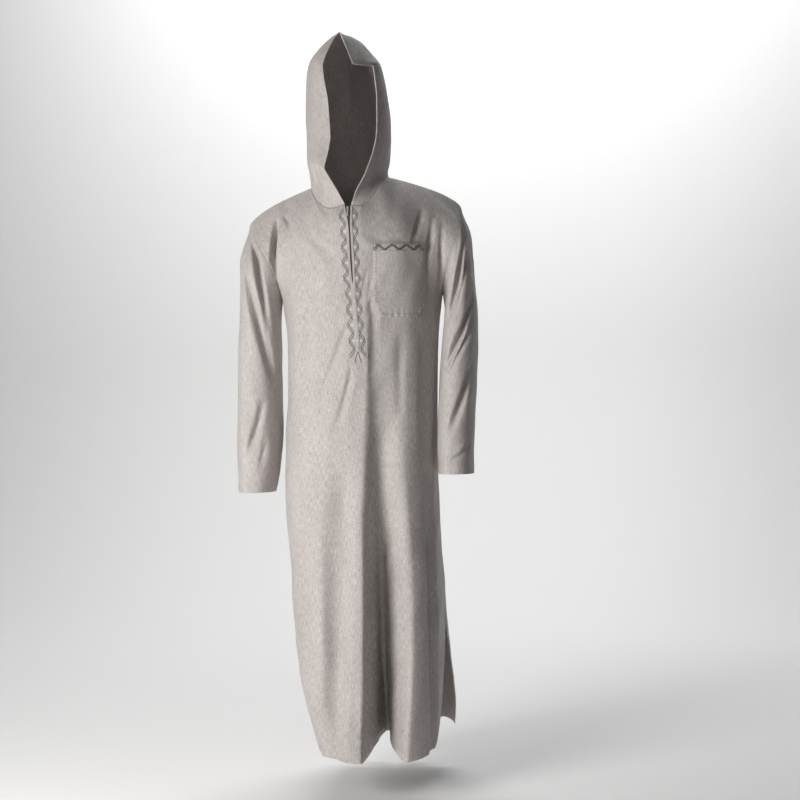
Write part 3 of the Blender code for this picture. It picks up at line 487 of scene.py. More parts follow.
def press(points, normals, creases, facing, straight=False):
    """Presses creases into the side of a piece that faces a way. A crease's path is x and
    height, its widths lie on either side of the way that the path runs, and a depth below 0
    is a ridge. A straight one goes in the way that the side faces, not square to the cloth."""
    flat = points.reshape(-1, 3)
    seen = ease((normals.reshape(-1, 3) @ facing + 0.15) / 0.35)
    depth = np.zeros(len(flat))
    for deep, wide_left, wide_right, deepest, path in creases:
        line = smooth_path(path, PATH_POINTS)
        tangent = unit(np.gradient(line, axis=0))
        gap = along(line)[-1] / (PATH_POINTS - 1)
        low, high = line.min(axis=0), line.max(axis=0)
        reach = max(wide_left, wide_right)
        place = flat[:, (0, 2)]
        near = np.flatnonzero(((place > low - reach) & (place < high + reach)).all(axis=1))
        off = place[near][:, None] - line[None]
        nearest = np.argmin((off**2).sum(axis=2), axis=1)
        off = off[np.arange(len(near)), nearest]
        way = tangent[nearest]
        ahead = (off * way).sum(axis=1)
        aside = way[:, 0] * off[:, 1] - way[:, 1] * off[:, 0]
        t = np.clip((nearest + ahead / gap) / (PATH_POINTS - 1), 0, 1)
        strength = np.where(t < deepest, ease(t / deepest), ease((1 - t) / (1 - deepest)))
        wide = np.where(aside > 0, wide_left, wide_right)
        depth[near] += deep * strength * bell(aside / wide)
    inward = -facing if straight else -normals
    return points + inward * (depth * seen).reshape(points.shape[:2])[:, :, None]


def normals_of(grid, outward, closed=False):
    """The way that the cloth faces at each point of a grid."""
    down = np.gradient(grid, axis=0)
    if closed:
        across = (np.roll(grid, -1, axis=1) - np.roll(grid, 1, axis=1)) / 2
    else:
        across = np.gradient(grid, axis=1)
    return unit(np.cross(down, across)) * (1 if outward else -1)


def ripple(grid, normals, height, length, seed):
    """Small uneven waves all over a piece, as cloth has that isn't ironed flat."""
    chance = np.random.default_rng(seed)
    rows = np.cumsum(np.linalg.norm(np.diff(grid, axis=0, prepend=grid[:1]), axis=2), axis=0)
    columns = np.cumsum(np.linalg.norm(np.diff(grid, axis=1, prepend=grid[:, :1]), axis=2), axis=1)
    wave = np.zeros(grid.shape[:2])
    for _ in range(WAVES):
        size = length * chance.uniform(0.5, 1.6)
        turn = chance.normal(0, 0.5)
        phase = chance.uniform(0, 2 * math.pi)
        place = columns * math.cos(turn) + rows * math.sin(turn)
        wave += np.sin(2 * math.pi * place / size + phase) * size / length
    return grid + normals * (wave * height / 4)[:, :, None]


FRONT_CREASES = (
    # depth, width to the left and to the right of its way, where it is deepest, path
    (0.0055, 0.017, 0.008, 0.22,
     ((0.016, -0.345), (0.002, -0.358), (-0.015, -0.395), (-0.040, -0.456), (-0.067, -0.514),
      (-0.096, -0.568), (-0.113, -0.609))),
    (0.0060, 0.018, 0.008, 0.30,
     ((0.012, -0.440), (0.008, -0.475), (-0.004, -0.520), (-0.018, -0.565), (-0.035, -0.610),
      (-0.058, -0.680))),
    (0.0035, 0.030, 0.030, 0.5,
     ((-0.055, -0.690), (-0.050, -0.895), (-0.040, -1.100), (-0.035, -1.300))),
    (0.0030, 0.022, 0.022, 0.5, ((-0.100, -0.268), (-0.112, -0.330), (-0.123, -0.410))),
    (0.0015, 0.005, 0.006, 0.5, ((-0.178, -0.282), (-0.160, -0.292), (-0.138, -0.306))),
    (0.0016, 0.008, 0.006, 0.5, ((-0.006, -0.228), (-0.016, -0.248), (-0.028, -0.270))),
    (0.0030, 0.009, 0.006, 0.4, ((0.063, -0.285), (0.055, -0.315), (0.040, -0.350))),
    (0.0022, 0.007, 0.005, 0.4, ((0.062, -0.240), (0.056, -0.270), (0.046, -0.303))),
    (0.0022, 0.007, 0.005, 0.4, ((0.050, -0.225), (0.044, -0.255), (0.036, -0.285))),
    (0.0080, 0.013, 0.007, 0.5,
     ((-0.190, -0.060), (-0.172, -0.080), (-0.158, -0.098), (-0.148, -0.130))),
    (-0.0016, 0.006, 0.006, 0.5, ((-0.147, -0.125), (-0.160, -0.145), (-0.176, -0.163))),
    (0.0060, 0.024, 0.020, 0.5, ((-0.186, -0.035), (-0.165, -0.060), (-0.150, -0.080))),
    (0.0060, 0.012, 0.007, 0.6,
     ((0.179, -0.060), (0.172, -0.085), (0.165, -0.115), (0.158, -0.145), (0.153, -0.175))),
    (0.0075, 0.012, 0.008, 0.5,
     ((0.201, -0.075), (0.197, -0.110), (0.193, -0.150), (0.184, -0.190), (0.180, -0.240),
      (0.178, -0.300))),
    (0.0075, 0.012, 0.008, 0.5,
     ((0.222, -0.095), (0.220, -0.130), (0.218, -0.180), (0.214, -0.230), (0.206, -0.290),
      (0.198, -0.350))),
    (-0.0018, 0.018, 0.018, 0.5,
     ((0.005, -0.070), (0.007, -0.095), (0.008, -0.120), (0.009, -0.145), (0.011, -0.180))),
    (0.0045, 0.020, 0.012, 0.3,
     ((0.058, -0.290), (0.062, -0.320), (0.064, -0.370), (0.060, -0.450), (0.050, -0.540))),
    (0.0060, 0.020, 0.014, 0.5,
     ((0.176, -0.350), (0.172, -0.450), (0.170, -0.560), (0.172, -0.680), (0.176, -0.800))),
    (0.0030, 0.016, 0.016, 0.5,
     ((0.128, -0.345), (0.124, -0.420), (0.122, -0.520), (0.126, -0.640))),
    (0.0026, 0.030, 0.026, 0.5,
     ((-0.110, -0.640), (-0.112, -0.800), (-0.106, -0.980), (-0.094, -1.150), (-0.080, -1.300))),
    (0.0022, 0.026, 0.026, 0.5,
     ((0.006, -0.600), (0.006, -0.760), (0.004, -0.950), (0.002, -1.150), (0.002, -1.300))),
    (0.0020, 0.022, 0.018, 0.5,
     ((0.142, -0.760), (0.144, -0.900), (0.146, -1.050), (0.146, -1.200))),
)
# The deep tuck beside the right armhole, which runs straight in, and the fullness of the left
# breast, which stands straight out
FRONT_TUCKS = (
    # columns as in FRONT_CREASES
    (-0.0120, 0.060, 0.056, 0.35,
     ((0.098, -0.005), (0.108, -0.060), (0.122, -0.115), (0.134, -0.180), (0.140, -0.260),
      (0.138, -0.380))),
    (0.0360, 0.009, 0.015, 0.55,
     ((-0.180, -0.060), (-0.186, -0.100), (-0.190, -0.145), (-0.192, -0.190), (-0.190, -0.275))),
)
BACK_CREASES = (
    # columns as in FRONT_CREASES
    (0.0060, 0.016, 0.010, 0.5,
     ((-0.190, -0.080), (-0.186, -0.130), (-0.180, -0.190), (-0.172, -0.260))),
    (0.0055, 0.012, 0.016, 0.5,
     ((0.192, -0.070), (0.190, -0.120), (0.184, -0.180), (0.176, -0.250))),
    (0.0040, 0.018, 0.012, 0.4,
     ((-0.120, -0.110), (-0.090, -0.150), (-0.050, -0.185), (0.000, -0.200))),
    (0.0045, 0.012, 0.018, 0.4,
     ((0.120, -0.140), (0.080, -0.190), (0.030, -0.225), (-0.030, -0.240))),
    (0.0050, 0.018, 0.012, 0.3,
     ((-0.140, -0.290), (-0.100, -0.350), (-0.060, -0.440), (-0.040, -0.560))),
    (0.0045, 0.014, 0.018, 0.4,
     ((0.150, -0.300), (0.110, -0.370), (0.075, -0.470), (0.060, -0.600))),
    (0.0035, 0.020, 0.020, 0.5, ((-0.020, -0.620), (-0.030, -0.800), (-0.026, -1.050))),
    (0.0035, 0.020, 0.020, 0.5, ((0.170, -0.560), (0.178, -0.800), (0.182, -1.050))),
    (0.0030, 0.018, 0.018, 0.5, ((-0.140, -0.520), (-0.145, -0.750), (-0.130, -1.000))),
)

front_faces = normals_of(front, True)
back_faces = normals_of(back, False)
front_shaped = press(front, front_faces, FRONT_CREASES, FORWARD)
front_shaped = press(front_shaped, front_faces, FRONT_TUCKS, FORWARD, straight=True)
back_shaped = press(back, back_faces, BACK_CREASES, BACKWARD)


# Sleeves
# Straight set-in sleeves, each one piece with its seam underneath. They hang from the armholes
# with the arms a little forward, and fold where the arm bends and where the cuff rests.
CUFF_RIGHT = -0.752
CUFF_LEFT = -0.712
SLEEVE_ROWS = 168
SLEEVE_CAP = 0.14
SLEEVE_SQUARE = 2.2
SLEEVE_HELD = 6
SLEEVE_FALL = 0.6
FOLDS_FROM_ARMHOLE = 6.5
RIGHT_SLEEVE = (
    # height, outer, inner, front, back
    (-0.09, -0.270, -0.196, -0.050, 0.075),
    (-0.145, -0.284, -0.196, -0.056, 0.078),
    (-0.19, -0.290, -0.195, -0.060, 0.080),
    (-0.25, -0.289, -0.194, -0.062, 0.078),
    (-0.38, -0.294, -0.193, -0.066, 0.070),
    (-0.52, -0.297, -0.190, -0.076, 0.058),
    (-0.60, -0.297, -0.188, -0.084, 0.048),
    (-0.68, -0.294, -0.193, -0.090, 0.036),
    (-0.76, -0.291, -0.206, -0.095, 0.024),
)
LEFT_SLEEVE = (
    # columns as in RIGHT_SLEEVE
    (-0.06, 0.264, 0.205, -0.050, 0.075),
    (-0.11, 0.281, 0.214, -0.056, 0.078),
    (-0.19, 0.287, 0.222, -0.060, 0.080),
    (-0.25, 0.291, 0.224, -0.062, 0.078),
    (-0.31, 0.295, 0.220, -0.065, 0.073),
    (-0.395, 0.298, 0.213, -0.072, 0.064),
    (-0.49, 0.293, 0.206, -0.080, 0.054),
    (-0.59, 0.289, 0.201, -0.087, 0.044),
    (-0.66, 0.286, 0.201, -0.091, 0.034),
    (-0.72, 0.285, 0.203, -0.095, 0.024),
)
# Each fold runs from its start to its end, given as the angle round the sleeve, from the
# outside (0) over the front (90) to the inside (180), and the height
RIGHT_SLEEVE_FOLDS = (
    # angle, height, angle at the end, height at the end, half width, depth
    (38, -0.13, 150, -0.50, 0.024, 0.016),
    (118, -0.52, 78, -0.66, 0.018, 0.008),
    (215, -0.30, 250, -0.62, 0.024, 0.014),
    (300, -0.22, 270, -0.56, 0.024, 0.012),
)
LEFT_SLEEVE_FOLDS = (
    # columns as in RIGHT_SLEEVE_FOLDS
    (40, -0.12, 130, -0.36, 0.017, 0.017),
    (28, -0.28, 128, -0.47, 0.017, 0.017),
    (35, -0.44, 100, -0.62, 0.018, 0.015),
    (215, -0.28, 250, -0.60, 0.024, 0.014),
    (300, -0.20, 268, -0.54, 0.024, 0.012),
)
RIGHT_SLEEVE_CREASES = (
    # depth, width to the left and to the right of its way, where it is deepest, path
    (0.0030, 0.004, 0.004, 0.5, ((-0.236, -0.138), (-0.230, -0.158), (-0.224, -0.182))),
    (0.0050, 0.014, 0.010, 0.5,
     ((-0.226, -0.500), (-0.230, -0.560), (-0.236, -0.600), (-0.252, -0.640), (-0.258, -0.670))),
    (0.0045, 0.012, 0.010, 0.5,
     ((-0.220, -0.610), (-0.216, -0.640), (-0.222, -0.670), (-0.232, -0.710))),
    (0.0020, 0.020, 0.020, 0.5, ((-0.266, -0.240), (-0.266, -0.360), (-0.262, -0.480))),
)
RIGHT_SLEEVE_TUCKS = (
    # columns as in FRONT_CREASES
    (0.0200, 0.015, 0.009, 0.3,
     ((-0.268, -0.098), (-0.248, -0.150), (-0.237, -0.191), (-0.230, -0.236), (-0.222, -0.285),
      (-0.216, -0.330), (-0.208, -0.400), (-0.192, -0.500))),
)
LEFT_SLEEVE_CREASES = (
    # columns as in FRONT_CREASES
    (0.0045, 0.008, 0.005, 0.5, ((0.252, -0.085), (0.262, -0.110), (0.272, -0.150))),
    (0.0080, 0.011, 0.005, 0.4,
     ((0.284, -0.140), (0.279, -0.190), (0.272, -0.234), (0.256, -0.303), (0.235, -0.372))),
    (0.0080, 0.011, 0.005, 0.4,
     ((0.290, -0.310), (0.282, -0.373), (0.266, -0.410), (0.246, -0.450), (0.228, -0.500))),
    (0.0040, 0.012, 0.006, 0.5,
     ((0.288, -0.440), (0.278, -0.500), (0.262, -0.560), (0.246, -0.600))),
    (-0.0030, 0.005, 0.012, 0.5,
     ((0.212, -0.669), (0.241, -0.662), (0.264, -0.645), (0.289, -0.602))),
    (0.0050, 0.005, 0.010, 0.5,
     ((0.214, -0.680), (0.243, -0.674), (0.268, -0.657), (0.289, -0.615))),
)


def sleeve(table, cuff, folds, column):
    """A sleeve as rings from the armhole to the cuff. Each ring goes from the outside over the
    front to the inside, and back over the back."""
    hole = np.concatenate([front[: UPPER_ROWS + 1, column], back[UPPER_ROWS - 1 : 0 : -1, column]])
    angle = 2 * math.pi * np.arange(len(hole)) / len(hole)
    cosine = np.sign(np.cos(angle)) * np.abs(np.cos(angle)) ** (2 / SLEEVE_SQUARE)
    sine = np.abs(np.sin(angle)) ** (2 / SLEEVE_SQUARE)
    share = np.linspace(0, 1, SLEEVE_ROWS - HEM_ROWS + 1) * (1 - HEM_DEPTH / SLEEVE_FALL)
    share = np.concatenate([share, np.linspace(share[-1], 1, HEM_ROWS + 1)[1:]])
    rings = []
    for t in share:
        height = hole[:, 2] * (1 - t) + cuff * t
        outer, inner, forward, backward = through(table, height).T
        reach = np.where(np.sin(angle) > 0, forward, backward)
        middle = (forward + backward) / 2
        x = (outer + inner) / 2 + (outer - inner) / 2 * cosine
        tube = np.stack([x, middle + (reach - middle) * sine, height], 1)
        blend = 1 - (1 - min(t / SLEEVE_CAP, 1)) ** 2
        drop = np.stack([hole[:, 0], hole[:, 1], height], 1)
        rings.append(drop * (1 - blend) + tube * blend)
    rings = np.stack(rings)
    return sink_folds(rings, angle, folds, ease(share * FOLDS_FROM_ARMHOLE))


def sink_folds(rings, angle, folds, held):
    """Presses a sleeve's folds into its rings, square to the cloth. The armhole stays as it is."""
    outward = rings - rings.mean(axis=1, keepdims=True)
    outward[:, :, 2] = 0
    halfway = rings[len(rings) // 2]
    girth = along(np.concatenate([halfway, halfway[:1]]))[-1]
    depth = np.zeros(rings.shape[:2])
    for start_angle, start, end_angle, end, half_width, deep in folds:
        t = (rings[:, :, 2] - start) / (end - start)
        turned = np.degrees(angle) - start_angle - (end_angle - start_angle) * t
        slope = (end_angle - start_angle) * girth / 360 / (end - start)
        off = turned * girth / 360 / math.hypot(1, slope)
        depth += deep * np.sin(np.pi * np.clip(t, 0, 1)) * bell(off / half_width)
    return rings - unit(outward) * (depth * held[:, None])[:, :, None]


def creased_sleeve(rings, outward, creases, tucks, seed):
    """A sleeve with its small creases, which leave the armhole and the cuff as they are."""
    facing = normals_of(rings, outward, closed=True)
    shaped = press(rings, facing, creases, FORWARD)
    shaped = press(shaped, facing, tucks, FORWARD, straight=True)
    shaped = ripple(shaped, facing, 0.0008, 0.07, seed)
    return rings + (shaped - rings) * off_ends(len(rings), SLEEVE_HELD)[:, None, None]


sleeve_right = sleeve(RIGHT_SLEEVE, CUFF_RIGHT, RIGHT_SLEEVE_FOLDS, 0)
sleeve_left = sleeve(LEFT_SLEEVE, CUFF_LEFT, LEFT_SLEEVE_FOLDS, -1)
sleeve_right = creased_sleeve(sleeve_right, True, RIGHT_SLEEVE_CREASES, RIGHT_SLEEVE_TUCKS, seed=11)
sleeve_left = creased_sleeve(sleeve_left, False, LEFT_SLEEVE_CREASES, (), seed=12)


# Hood
# Two halves joined by a seam over the head, set into the neckline. The rim round the face is
# hemmed, and its upper corner on the wearer's left has folded down over the brow.
HOOD_TURN = math.radians(9)
HOOD_ROWS = 108
HOOD_RIGHT = (
    # edge x, y, z, side x, y, z
    (-0.036, -0.110, -0.036, -0.108, 0.016, 0.028),
    (-0.066, -0.116, 0.018, -0.110, 0.018, 0.062),
    (-0.056, -0.110, 0.060, -0.112, 0.020, 0.102),
    (-0.050, -0.104, 0.092, -0.113, 0.020, 0.136),
    (-0.053, -0.100, 0.136, -0.1135, 0.020, 0.172),
    (-0.056, -0.100, 0.188, -0.112, 0.018, 0.216),
    (-0.064, -0.100, 0.234, -0.107, 0.014, 0.262),
    (-0.067, -0.096, 0.268, -0.097, 0.004, 0.298),
    (-0.058, -0.092, 0.296, -0.080, -0.010, 0.317),
    (-0.046, -0.086, 0.320, -0.060, -0.024, 0.335),
    (-0.036, -0.080, 0.338, -0.040, -0.040, 0.347),
    (-0.026, -0.076, 0.350, -0.022, -0.052, 0.352),
)
HOOD_LEFT = (
    # columns as in HOOD_RIGHT
    (0.008, -0.114, -0.036, 0.086, 0.018, 0.044),
    (0.027, -0.112, 0.000, 0.088, 0.020, 0.076),
    (0.047, -0.106, 0.050, 0.0885, 0.022, 0.108),
    (0.056, -0.100, 0.088, 0.087, 0.022, 0.142),
    (0.060, -0.095, 0.136, 0.084, 0.022, 0.178),
    (0.060, -0.091, 0.196, 0.077, 0.020, 0.226),
    (0.056, -0.090, 0.236, 0.070, 0.014, 0.260),
    (0.052, -0.090, 0.265, 0.061, 0.004, 0.290),
    (0.027, -0.112, 0.262, 0.047, -0.006, 0.314),
    (0.005, -0.128, 0.262, 0.027, -0.024, 0.335),
    (-0.010, -0.100, 0.306, 0.002, -0.040, 0.347),
    (-0.026, -0.076, 0.350, -0.022, -0.052, 0.352),
)
HOOD_CROWN = (
    # y, z
    (0.098, 0.048),
    (0.114, 0.090),
    (0.128, 0.130),
    (0.139, 0.168),
    (0.145, 0.204),
    (0.147, 0.240),
    (0.142, 0.270),
    (0.128, 0.297),
    (0.100, 0.318),
    (0.058, 0.332),
    (0.012, 0.341),
    (-0.030, 0.348),
)
HOOD_CROWN_X = -0.012
HOOD_ROUNDNESS = 0.24
HOOD_HELD = 8
RIM_SHARE = 0.16
RIM_CRISPNESS = 0.85
HOOD_CREASES = (
    # depth, width to the left and to the right of its way, where it is deepest, path
    (0.0060, 0.008, 0.008, 0.5,
     ((-0.094, 0.110), (-0.088, 0.060), (-0.080, 0.010), (-0.066, -0.045))),
    (0.0052, 0.007, 0.006, 0.5,
     ((-0.078, 0.080), (-0.070, 0.030), (-0.064, -0.010), (-0.050, -0.055))),
    (0.0030, 0.008, 0.008, 0.5, ((-0.100, 0.250), (-0.098, 0.190), (-0.092, 0.130))),
    (0.0030, 0.007, 0.006, 0.5, ((0.074, 0.110), (0.072, 0.060), (0.062, 0.010), (0.044, -0.040))),
)


def hood_half(neck, table):
    """Half of the hood as rows from the neck seam up to the crown. Each row runs from the rim
    round the face, over the side of the head, to the centre seam at the back."""
    by_neck = along(neck) / along(neck)[-1]
    evenly = np.linspace(0, 1, len(neck))
    cosine, sine = math.cos(HOOD_TURN), math.sin(HOOD_TURN)
    turn = np.array([[cosine, -sine], [sine, cosine]])
    rows = [neck]
    for index, (row, crown) in enumerate(zip(table, HOOD_CROWN)):
        edge, widest = np.array(row[:3]), np.array(row[3:])
        end = np.array([HOOD_CROWN_X, *crown])
        pull = (8 * widest - edge - end) / 6
        spread = (end - edge) * HOOD_ROUNDNESS
        even = (index + 1) / len(table)
        t = (by_neck * (1 - even) + evenly * even)[:, None]
        line = (
            (1 - t) ** 3 * edge
            + 3 * t * (1 - t) ** 2 * (pull - spread)
            + 3 * t**2 * (1 - t) * (pull + spread)
            + t**3 * end
        )
        line[:, :2] = line[:, :2] @ turn.T
        rows.append(line)
    rows = np.stack(rows)
    places = np.linspace(0, len(rows) - 1, HOOD_ROWS + 1)
    numbered = np.hstack([np.arange(len(rows))[:, None], rows.reshape(len(rows), -1)])
    soft = through(numbered, places).reshape(HOOD_ROWS + 1, len(neck), 3)
    below = np.minimum(places.astype(int), len(rows) - 2)
    share = (places - below)[:, None, None]
    crisp = rows[below] * (1 - share) + rows[below + 1] * share
    return soft + (crisp - soft) * (1 - ease(evenly / RIM_SHARE))[None, :, None] * RIM_CRISPNESS


def creased_hood(half, outward):
    """Half of the hood with its creases, which leave the neck and centre seams as they are."""
    facing = normals_of(half, outward)
    shaped = press(half, facing, HOOD_CREASES, FORWARD)
    shaped = ripple(shaped, facing, 0.0006, 0.06, 21)
    columns = half.shape[1]
    held = off_ends(len(half), HOOD_HELD)[:, None]
    held = held * ease((columns - 1 - np.arange(columns)) / HOOD_HELD)[None]
    return half + (shaped - half) * held[:, :, None]


nape = SHOULDER_STRIPS + NAPE_STRIPS
last = front.shape[1] - 1 - SHOULDER_STRIPS
neck_right = np.concatenate(
    [front[0, SLIT : SHOULDER_STRIPS - 1 : -1], back[0, SHOULDER_STRIPS + 1 : nape + 1]]
)
neck_left = np.concatenate(
    [front[0, SLIT + 1 : last + 1], back[0, nape + NAPE_STRIPS - 1 : nape - 1 : -1]]
)
hood_right = creased_hood(hood_half(neck_right, HOOD_RIGHT), True)
hood_left = creased_hood(hood_half(neck_left, HOOD_LEFT), False)


# Making up
# The panels are held where they are sewn: the creases die out towards the seams, which sink in
# a little, and the hems are turned up twice, so the cloth is thicker there.
SEAM_SINK = 0.0012
SEAM_REACH = 0.005
SEAM_HELD = 5
HEM_EDGE = 0.002


def held_at_seams(grid, shaped):
    """A body panel with its creases faded out at the shoulder, side, neck and armhole seams."""
    rows, columns = grid.shape[:2]
    held = ease(np.arange(rows) / SEAM_HELD)[:, None] * off_ends(columns, SEAM_HELD)[None]
    return grid + (shaped - grid) * held[:, :, None]


slit_line = (front[:, SLIT] + front[:, SLIT + 1]) / 2
from_slit = np.abs(front[:, :, 0] - slit_line[:, None, 0])
calm = np.maximum(ease((from_slit - 0.006) / 0.03), ease((-0.42 - front[:, :, 2]) / 0.04))
waved = ripple(front_shaped, front_faces, 0.0010, 0.09, 1)
front_shaped += (waved - front_shaped) * calm[:, :, None]
back_shaped = ripple(back_shaped, back_faces, 0.0010, 0.09, 2)
front_shaped = held_at_seams(front, front_shaped)
back_shaped = held_at_seams(back, back_shaped)


def distance_inward(grid, axis, reverse):
    """How far each point of a grid lies from one of its edges, along the cloth."""
    steps = np.linalg.norm(np.diff(grid, axis=axis), axis=2)
    if reverse:
        steps = np.flip(steps, axis=axis)
    total = np.cumsum(steps, axis=axis)
    total = np.concatenate([np.zeros_like(np.take(total, [0], axis=axis)), total], axis=axis)
    return np.flip(total, axis=axis) if reverse else total


def cut_of(grid, closed, panel):
    """Where each point of a piece lies in its flat cut: across it and down it, in metres. On a
    body panel it is measured from the middle, and past the neck only from side to side."""
    ring = np.concatenate([grid, grid[:, :1]], axis=1) if closed else grid
    steps = np.diff(ring, axis=1)
    across = np.linalg.norm(steps, axis=2)
    drop = np.diff(ring, axis=0)
    if panel:
        across = np.linalg.norm(steps[:, :, :2], axis=2)
        across[:, SHOULDER_STRIPS:-SHOULDER_STRIPS] = np.abs(
            steps[:, SHOULDER_STRIPS:-SHOULDER_STRIPS, 0]
        )
        drop = drop[:, :, 1:]
    if closed:
        across[:] = across.mean(axis=0)
    across = np.concatenate([np.zeros((len(ring), 1)), np.cumsum(across, axis=1)], axis=1)
    down = np.linalg.norm(drop, axis=2)
    down = np.concatenate([np.zeros((1, ring.shape[1])), np.cumsum(down, axis=0)])
    if panel:
        across = across - across[:, ring.shape[1] // 2][:, None]
        down = down - down[UPPER_ROWS] + (UNDERARM - ring[UPPER_ROWS, :, 2])
    return np.stack([across, -down], 2)


def placed(name, data):
    """A new object of the scene with this data."""
    made = bpy.data.objects.new(name, data)
    bpy.context.scene.collection.objects.link(made)
    return made


def make_cloth(
    name, grid, facing, outward, seams, hems, closed=False, open_cells=None, panel=False
):
    """A piece of cloth as a closed thin shell with a map of its cut in metres. The cloth sinks
    into its seams. hems are distances from an edge, how deep the hem is and what it adds."""
    sink = sum((bell(far / SEAM_REACH) for far in seams), np.zeros(grid.shape[:2]))
    half = np.full(grid.shape[:2], CLOTH / 2)
    for far, deep, more in hems:
        half = half + more / 2 * ease((deep - far) / HEM_EDGE + 1)
    centre = grid - facing * (np.clip(sink, 0, 1) * SEAM_SINK)[:, :, None]
    points = np.concatenate(
        [(centre + facing * side * half[:, :, None]).reshape(-1, 3) for side in (1, -1)]
    )
    rows, columns = grid.shape[:2]
    count = rows * columns
    last_strip = columns if closed else columns - 1
    i, j = np.meshgrid(np.arange(rows - 1), np.arange(last_strip), indexing="ij")
    if open_cells is not None:
        kept = ~open_cells[i, j]
        i, j = i[kept], j[kept]
    i, j = i.ravel(), j.ravel()
    after = (j + 1) % columns
    quads = np.stack(
        [i * columns + j, (i + 1) * columns + j, (i + 1) * columns + after, i * columns + after], 1
    )
    if not outward:
        quads = quads[:, ::-1]
    edges = np.concatenate([quads[:, [k, (k + 1) % 4]] for k in range(4)])
    code = edges[:, 0] * count + edges[:, 1]
    free = edges[~np.isin(code, edges[:, 1] * count + edges[:, 0])]
    rims = np.stack([free[:, 1], free[:, 0], free[:, 0] + count, free[:, 1] + count], 1)
    faces = np.concatenate([quads, quads[:, ::-1] + count, rims])
    cut = cut_of(grid, closed, panel)
    corner_cut = np.stack([cut[i, j], cut[i + 1, j], cut[i + 1, j + 1], cut[i, j + 1]], 1)
    if not outward:
        corner_cut = corner_cut[:, ::-1]
    rim_cut = cut[:, :columns].reshape(-1, 2)[rims % count]
    corner_cut = np.concatenate([corner_cut, corner_cut[:, ::-1], rim_cut])
    used = np.unique(faces)
    renumber = np.zeros(2 * count, int)
    renumber[used] = np.arange(len(used))
    mesh = bpy.data.meshes.new(name)
    mesh.from_pydata(points[used].tolist(), [], renumber[faces].tolist())
    flat = mesh.uv_layers.new(name="cut")
    flat.uv.foreach_set("vector", corner_cut.astype(np.float32).ravel())
    mesh.shade_smooth()
    mesh.set_sharp_from_angle(angle=math.radians(60))
    return placed(name, mesh)


open_slit = np.zeros(front.shape[:2], bool)
open_slit[:, SLIT] = front[:, SLIT, 2] > ZIP_FOOT

grids = {
    # node: its surface, whether rows run down and columns run left as seen from outside, a tube
    "front": (front_shaped, True, False),
    "back": (back_shaped, False, False),
    "sleeve_right": (sleeve_right, True, True),
    "sleeve_left": (sleeve_left, False, True),
    "hood_right": (hood_right, True, False),
    "hood_left": (hood_left, False, False),
}
facings = {node: normals_of(*layout) for node, layout in grids.items()}


def join_facings():
    """Gives points that two or three pieces share at their seams one way to face, so the pieces
    meet without a gap."""
    places = np.concatenate([layout[0].reshape(-1, 3) for layout in grids.values()])
    ways = np.concatenate([facing.reshape(-1, 3) for facing in facings.values()])
    _, same, counts = np.unique(
        np.round(places, 7), axis=0, return_inverse=True, return_counts=True
    )
    same = same.ravel()
    total = np.zeros((len(counts), 3))
    np.add.at(total, same, ways)
    shared = unit(total[same] + np.array([0.0, 0.0, -0.1]))
    ways = np.where((counts[same] > 1)[:, None], shared, ways)
    start = 0
    for node, facing in facings.items():
        size = facing.shape[0] * facing.shape[1]
        facings[node] = ways[start : start + size].reshape(facing.shape)
        start += size


join_facings()
crown_right, crown_left = facings["hood_right"][-1], facings["hood_left"][-1]
share_right = np.linspace(0, 1, len(crown_right))
share_left = np.linspace(0, 1, len(crown_left))
crown = unit(crown_right + between(share_right, share_left, crown_left))
facings["hood_right"][-1] = crown
facings["hood_left"][-1] = between(share_left, share_right, crown)

# An edge is its axis and whether it is the far one
TOP_EDGE, FOOT_EDGE, FIRST_SIDE, LAST_SIDE = (0, False), (0, True), (1, False), (1, True)
TURNED_UP = (FOOT_EDGE, HEM_DEPTH, 0.0009)
RIM_HEM = (FIRST_SIDE, 0.006, 0.0018)
CUTS = {
    # node: the edges that are seams, and the hem's edge with its depth and thickness
    "front": ((TOP_EDGE, FIRST_SIDE, LAST_SIDE), TURNED_UP),
    "back": ((TOP_EDGE, FIRST_SIDE, LAST_SIDE), TURNED_UP),
    "sleeve_right": ((TOP_EDGE,), TURNED_UP),
    "sleeve_left": ((TOP_EDGE,), TURNED_UP),
    "hood_right": ((TOP_EDGE, LAST_SIDE), RIM_HEM),
    "hood_left": ((TOP_EDGE, LAST_SIDE), RIM_HEM),
}
cloth_pieces = {}
for node, (grid, outward, closed) in grids.items():
    seams, (hem, deep, more) = CUTS[node]
    piece = make_cloth(
        node + "_cloth", grid, facings[node], outward,
        [distance_inward(grid, *edge) for edge in seams],
        [(distance_inward(grid, *hem), deep, more)],
        closed, open_slit if node == "front" else None, node in ("front", "back"),
    )
    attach(piece, "robe")
    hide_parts(node)
    cloth_pieces[node] = piece
    carried_by = [] if node in ("front", "back") else ["front_cloth", "back_cloth"]


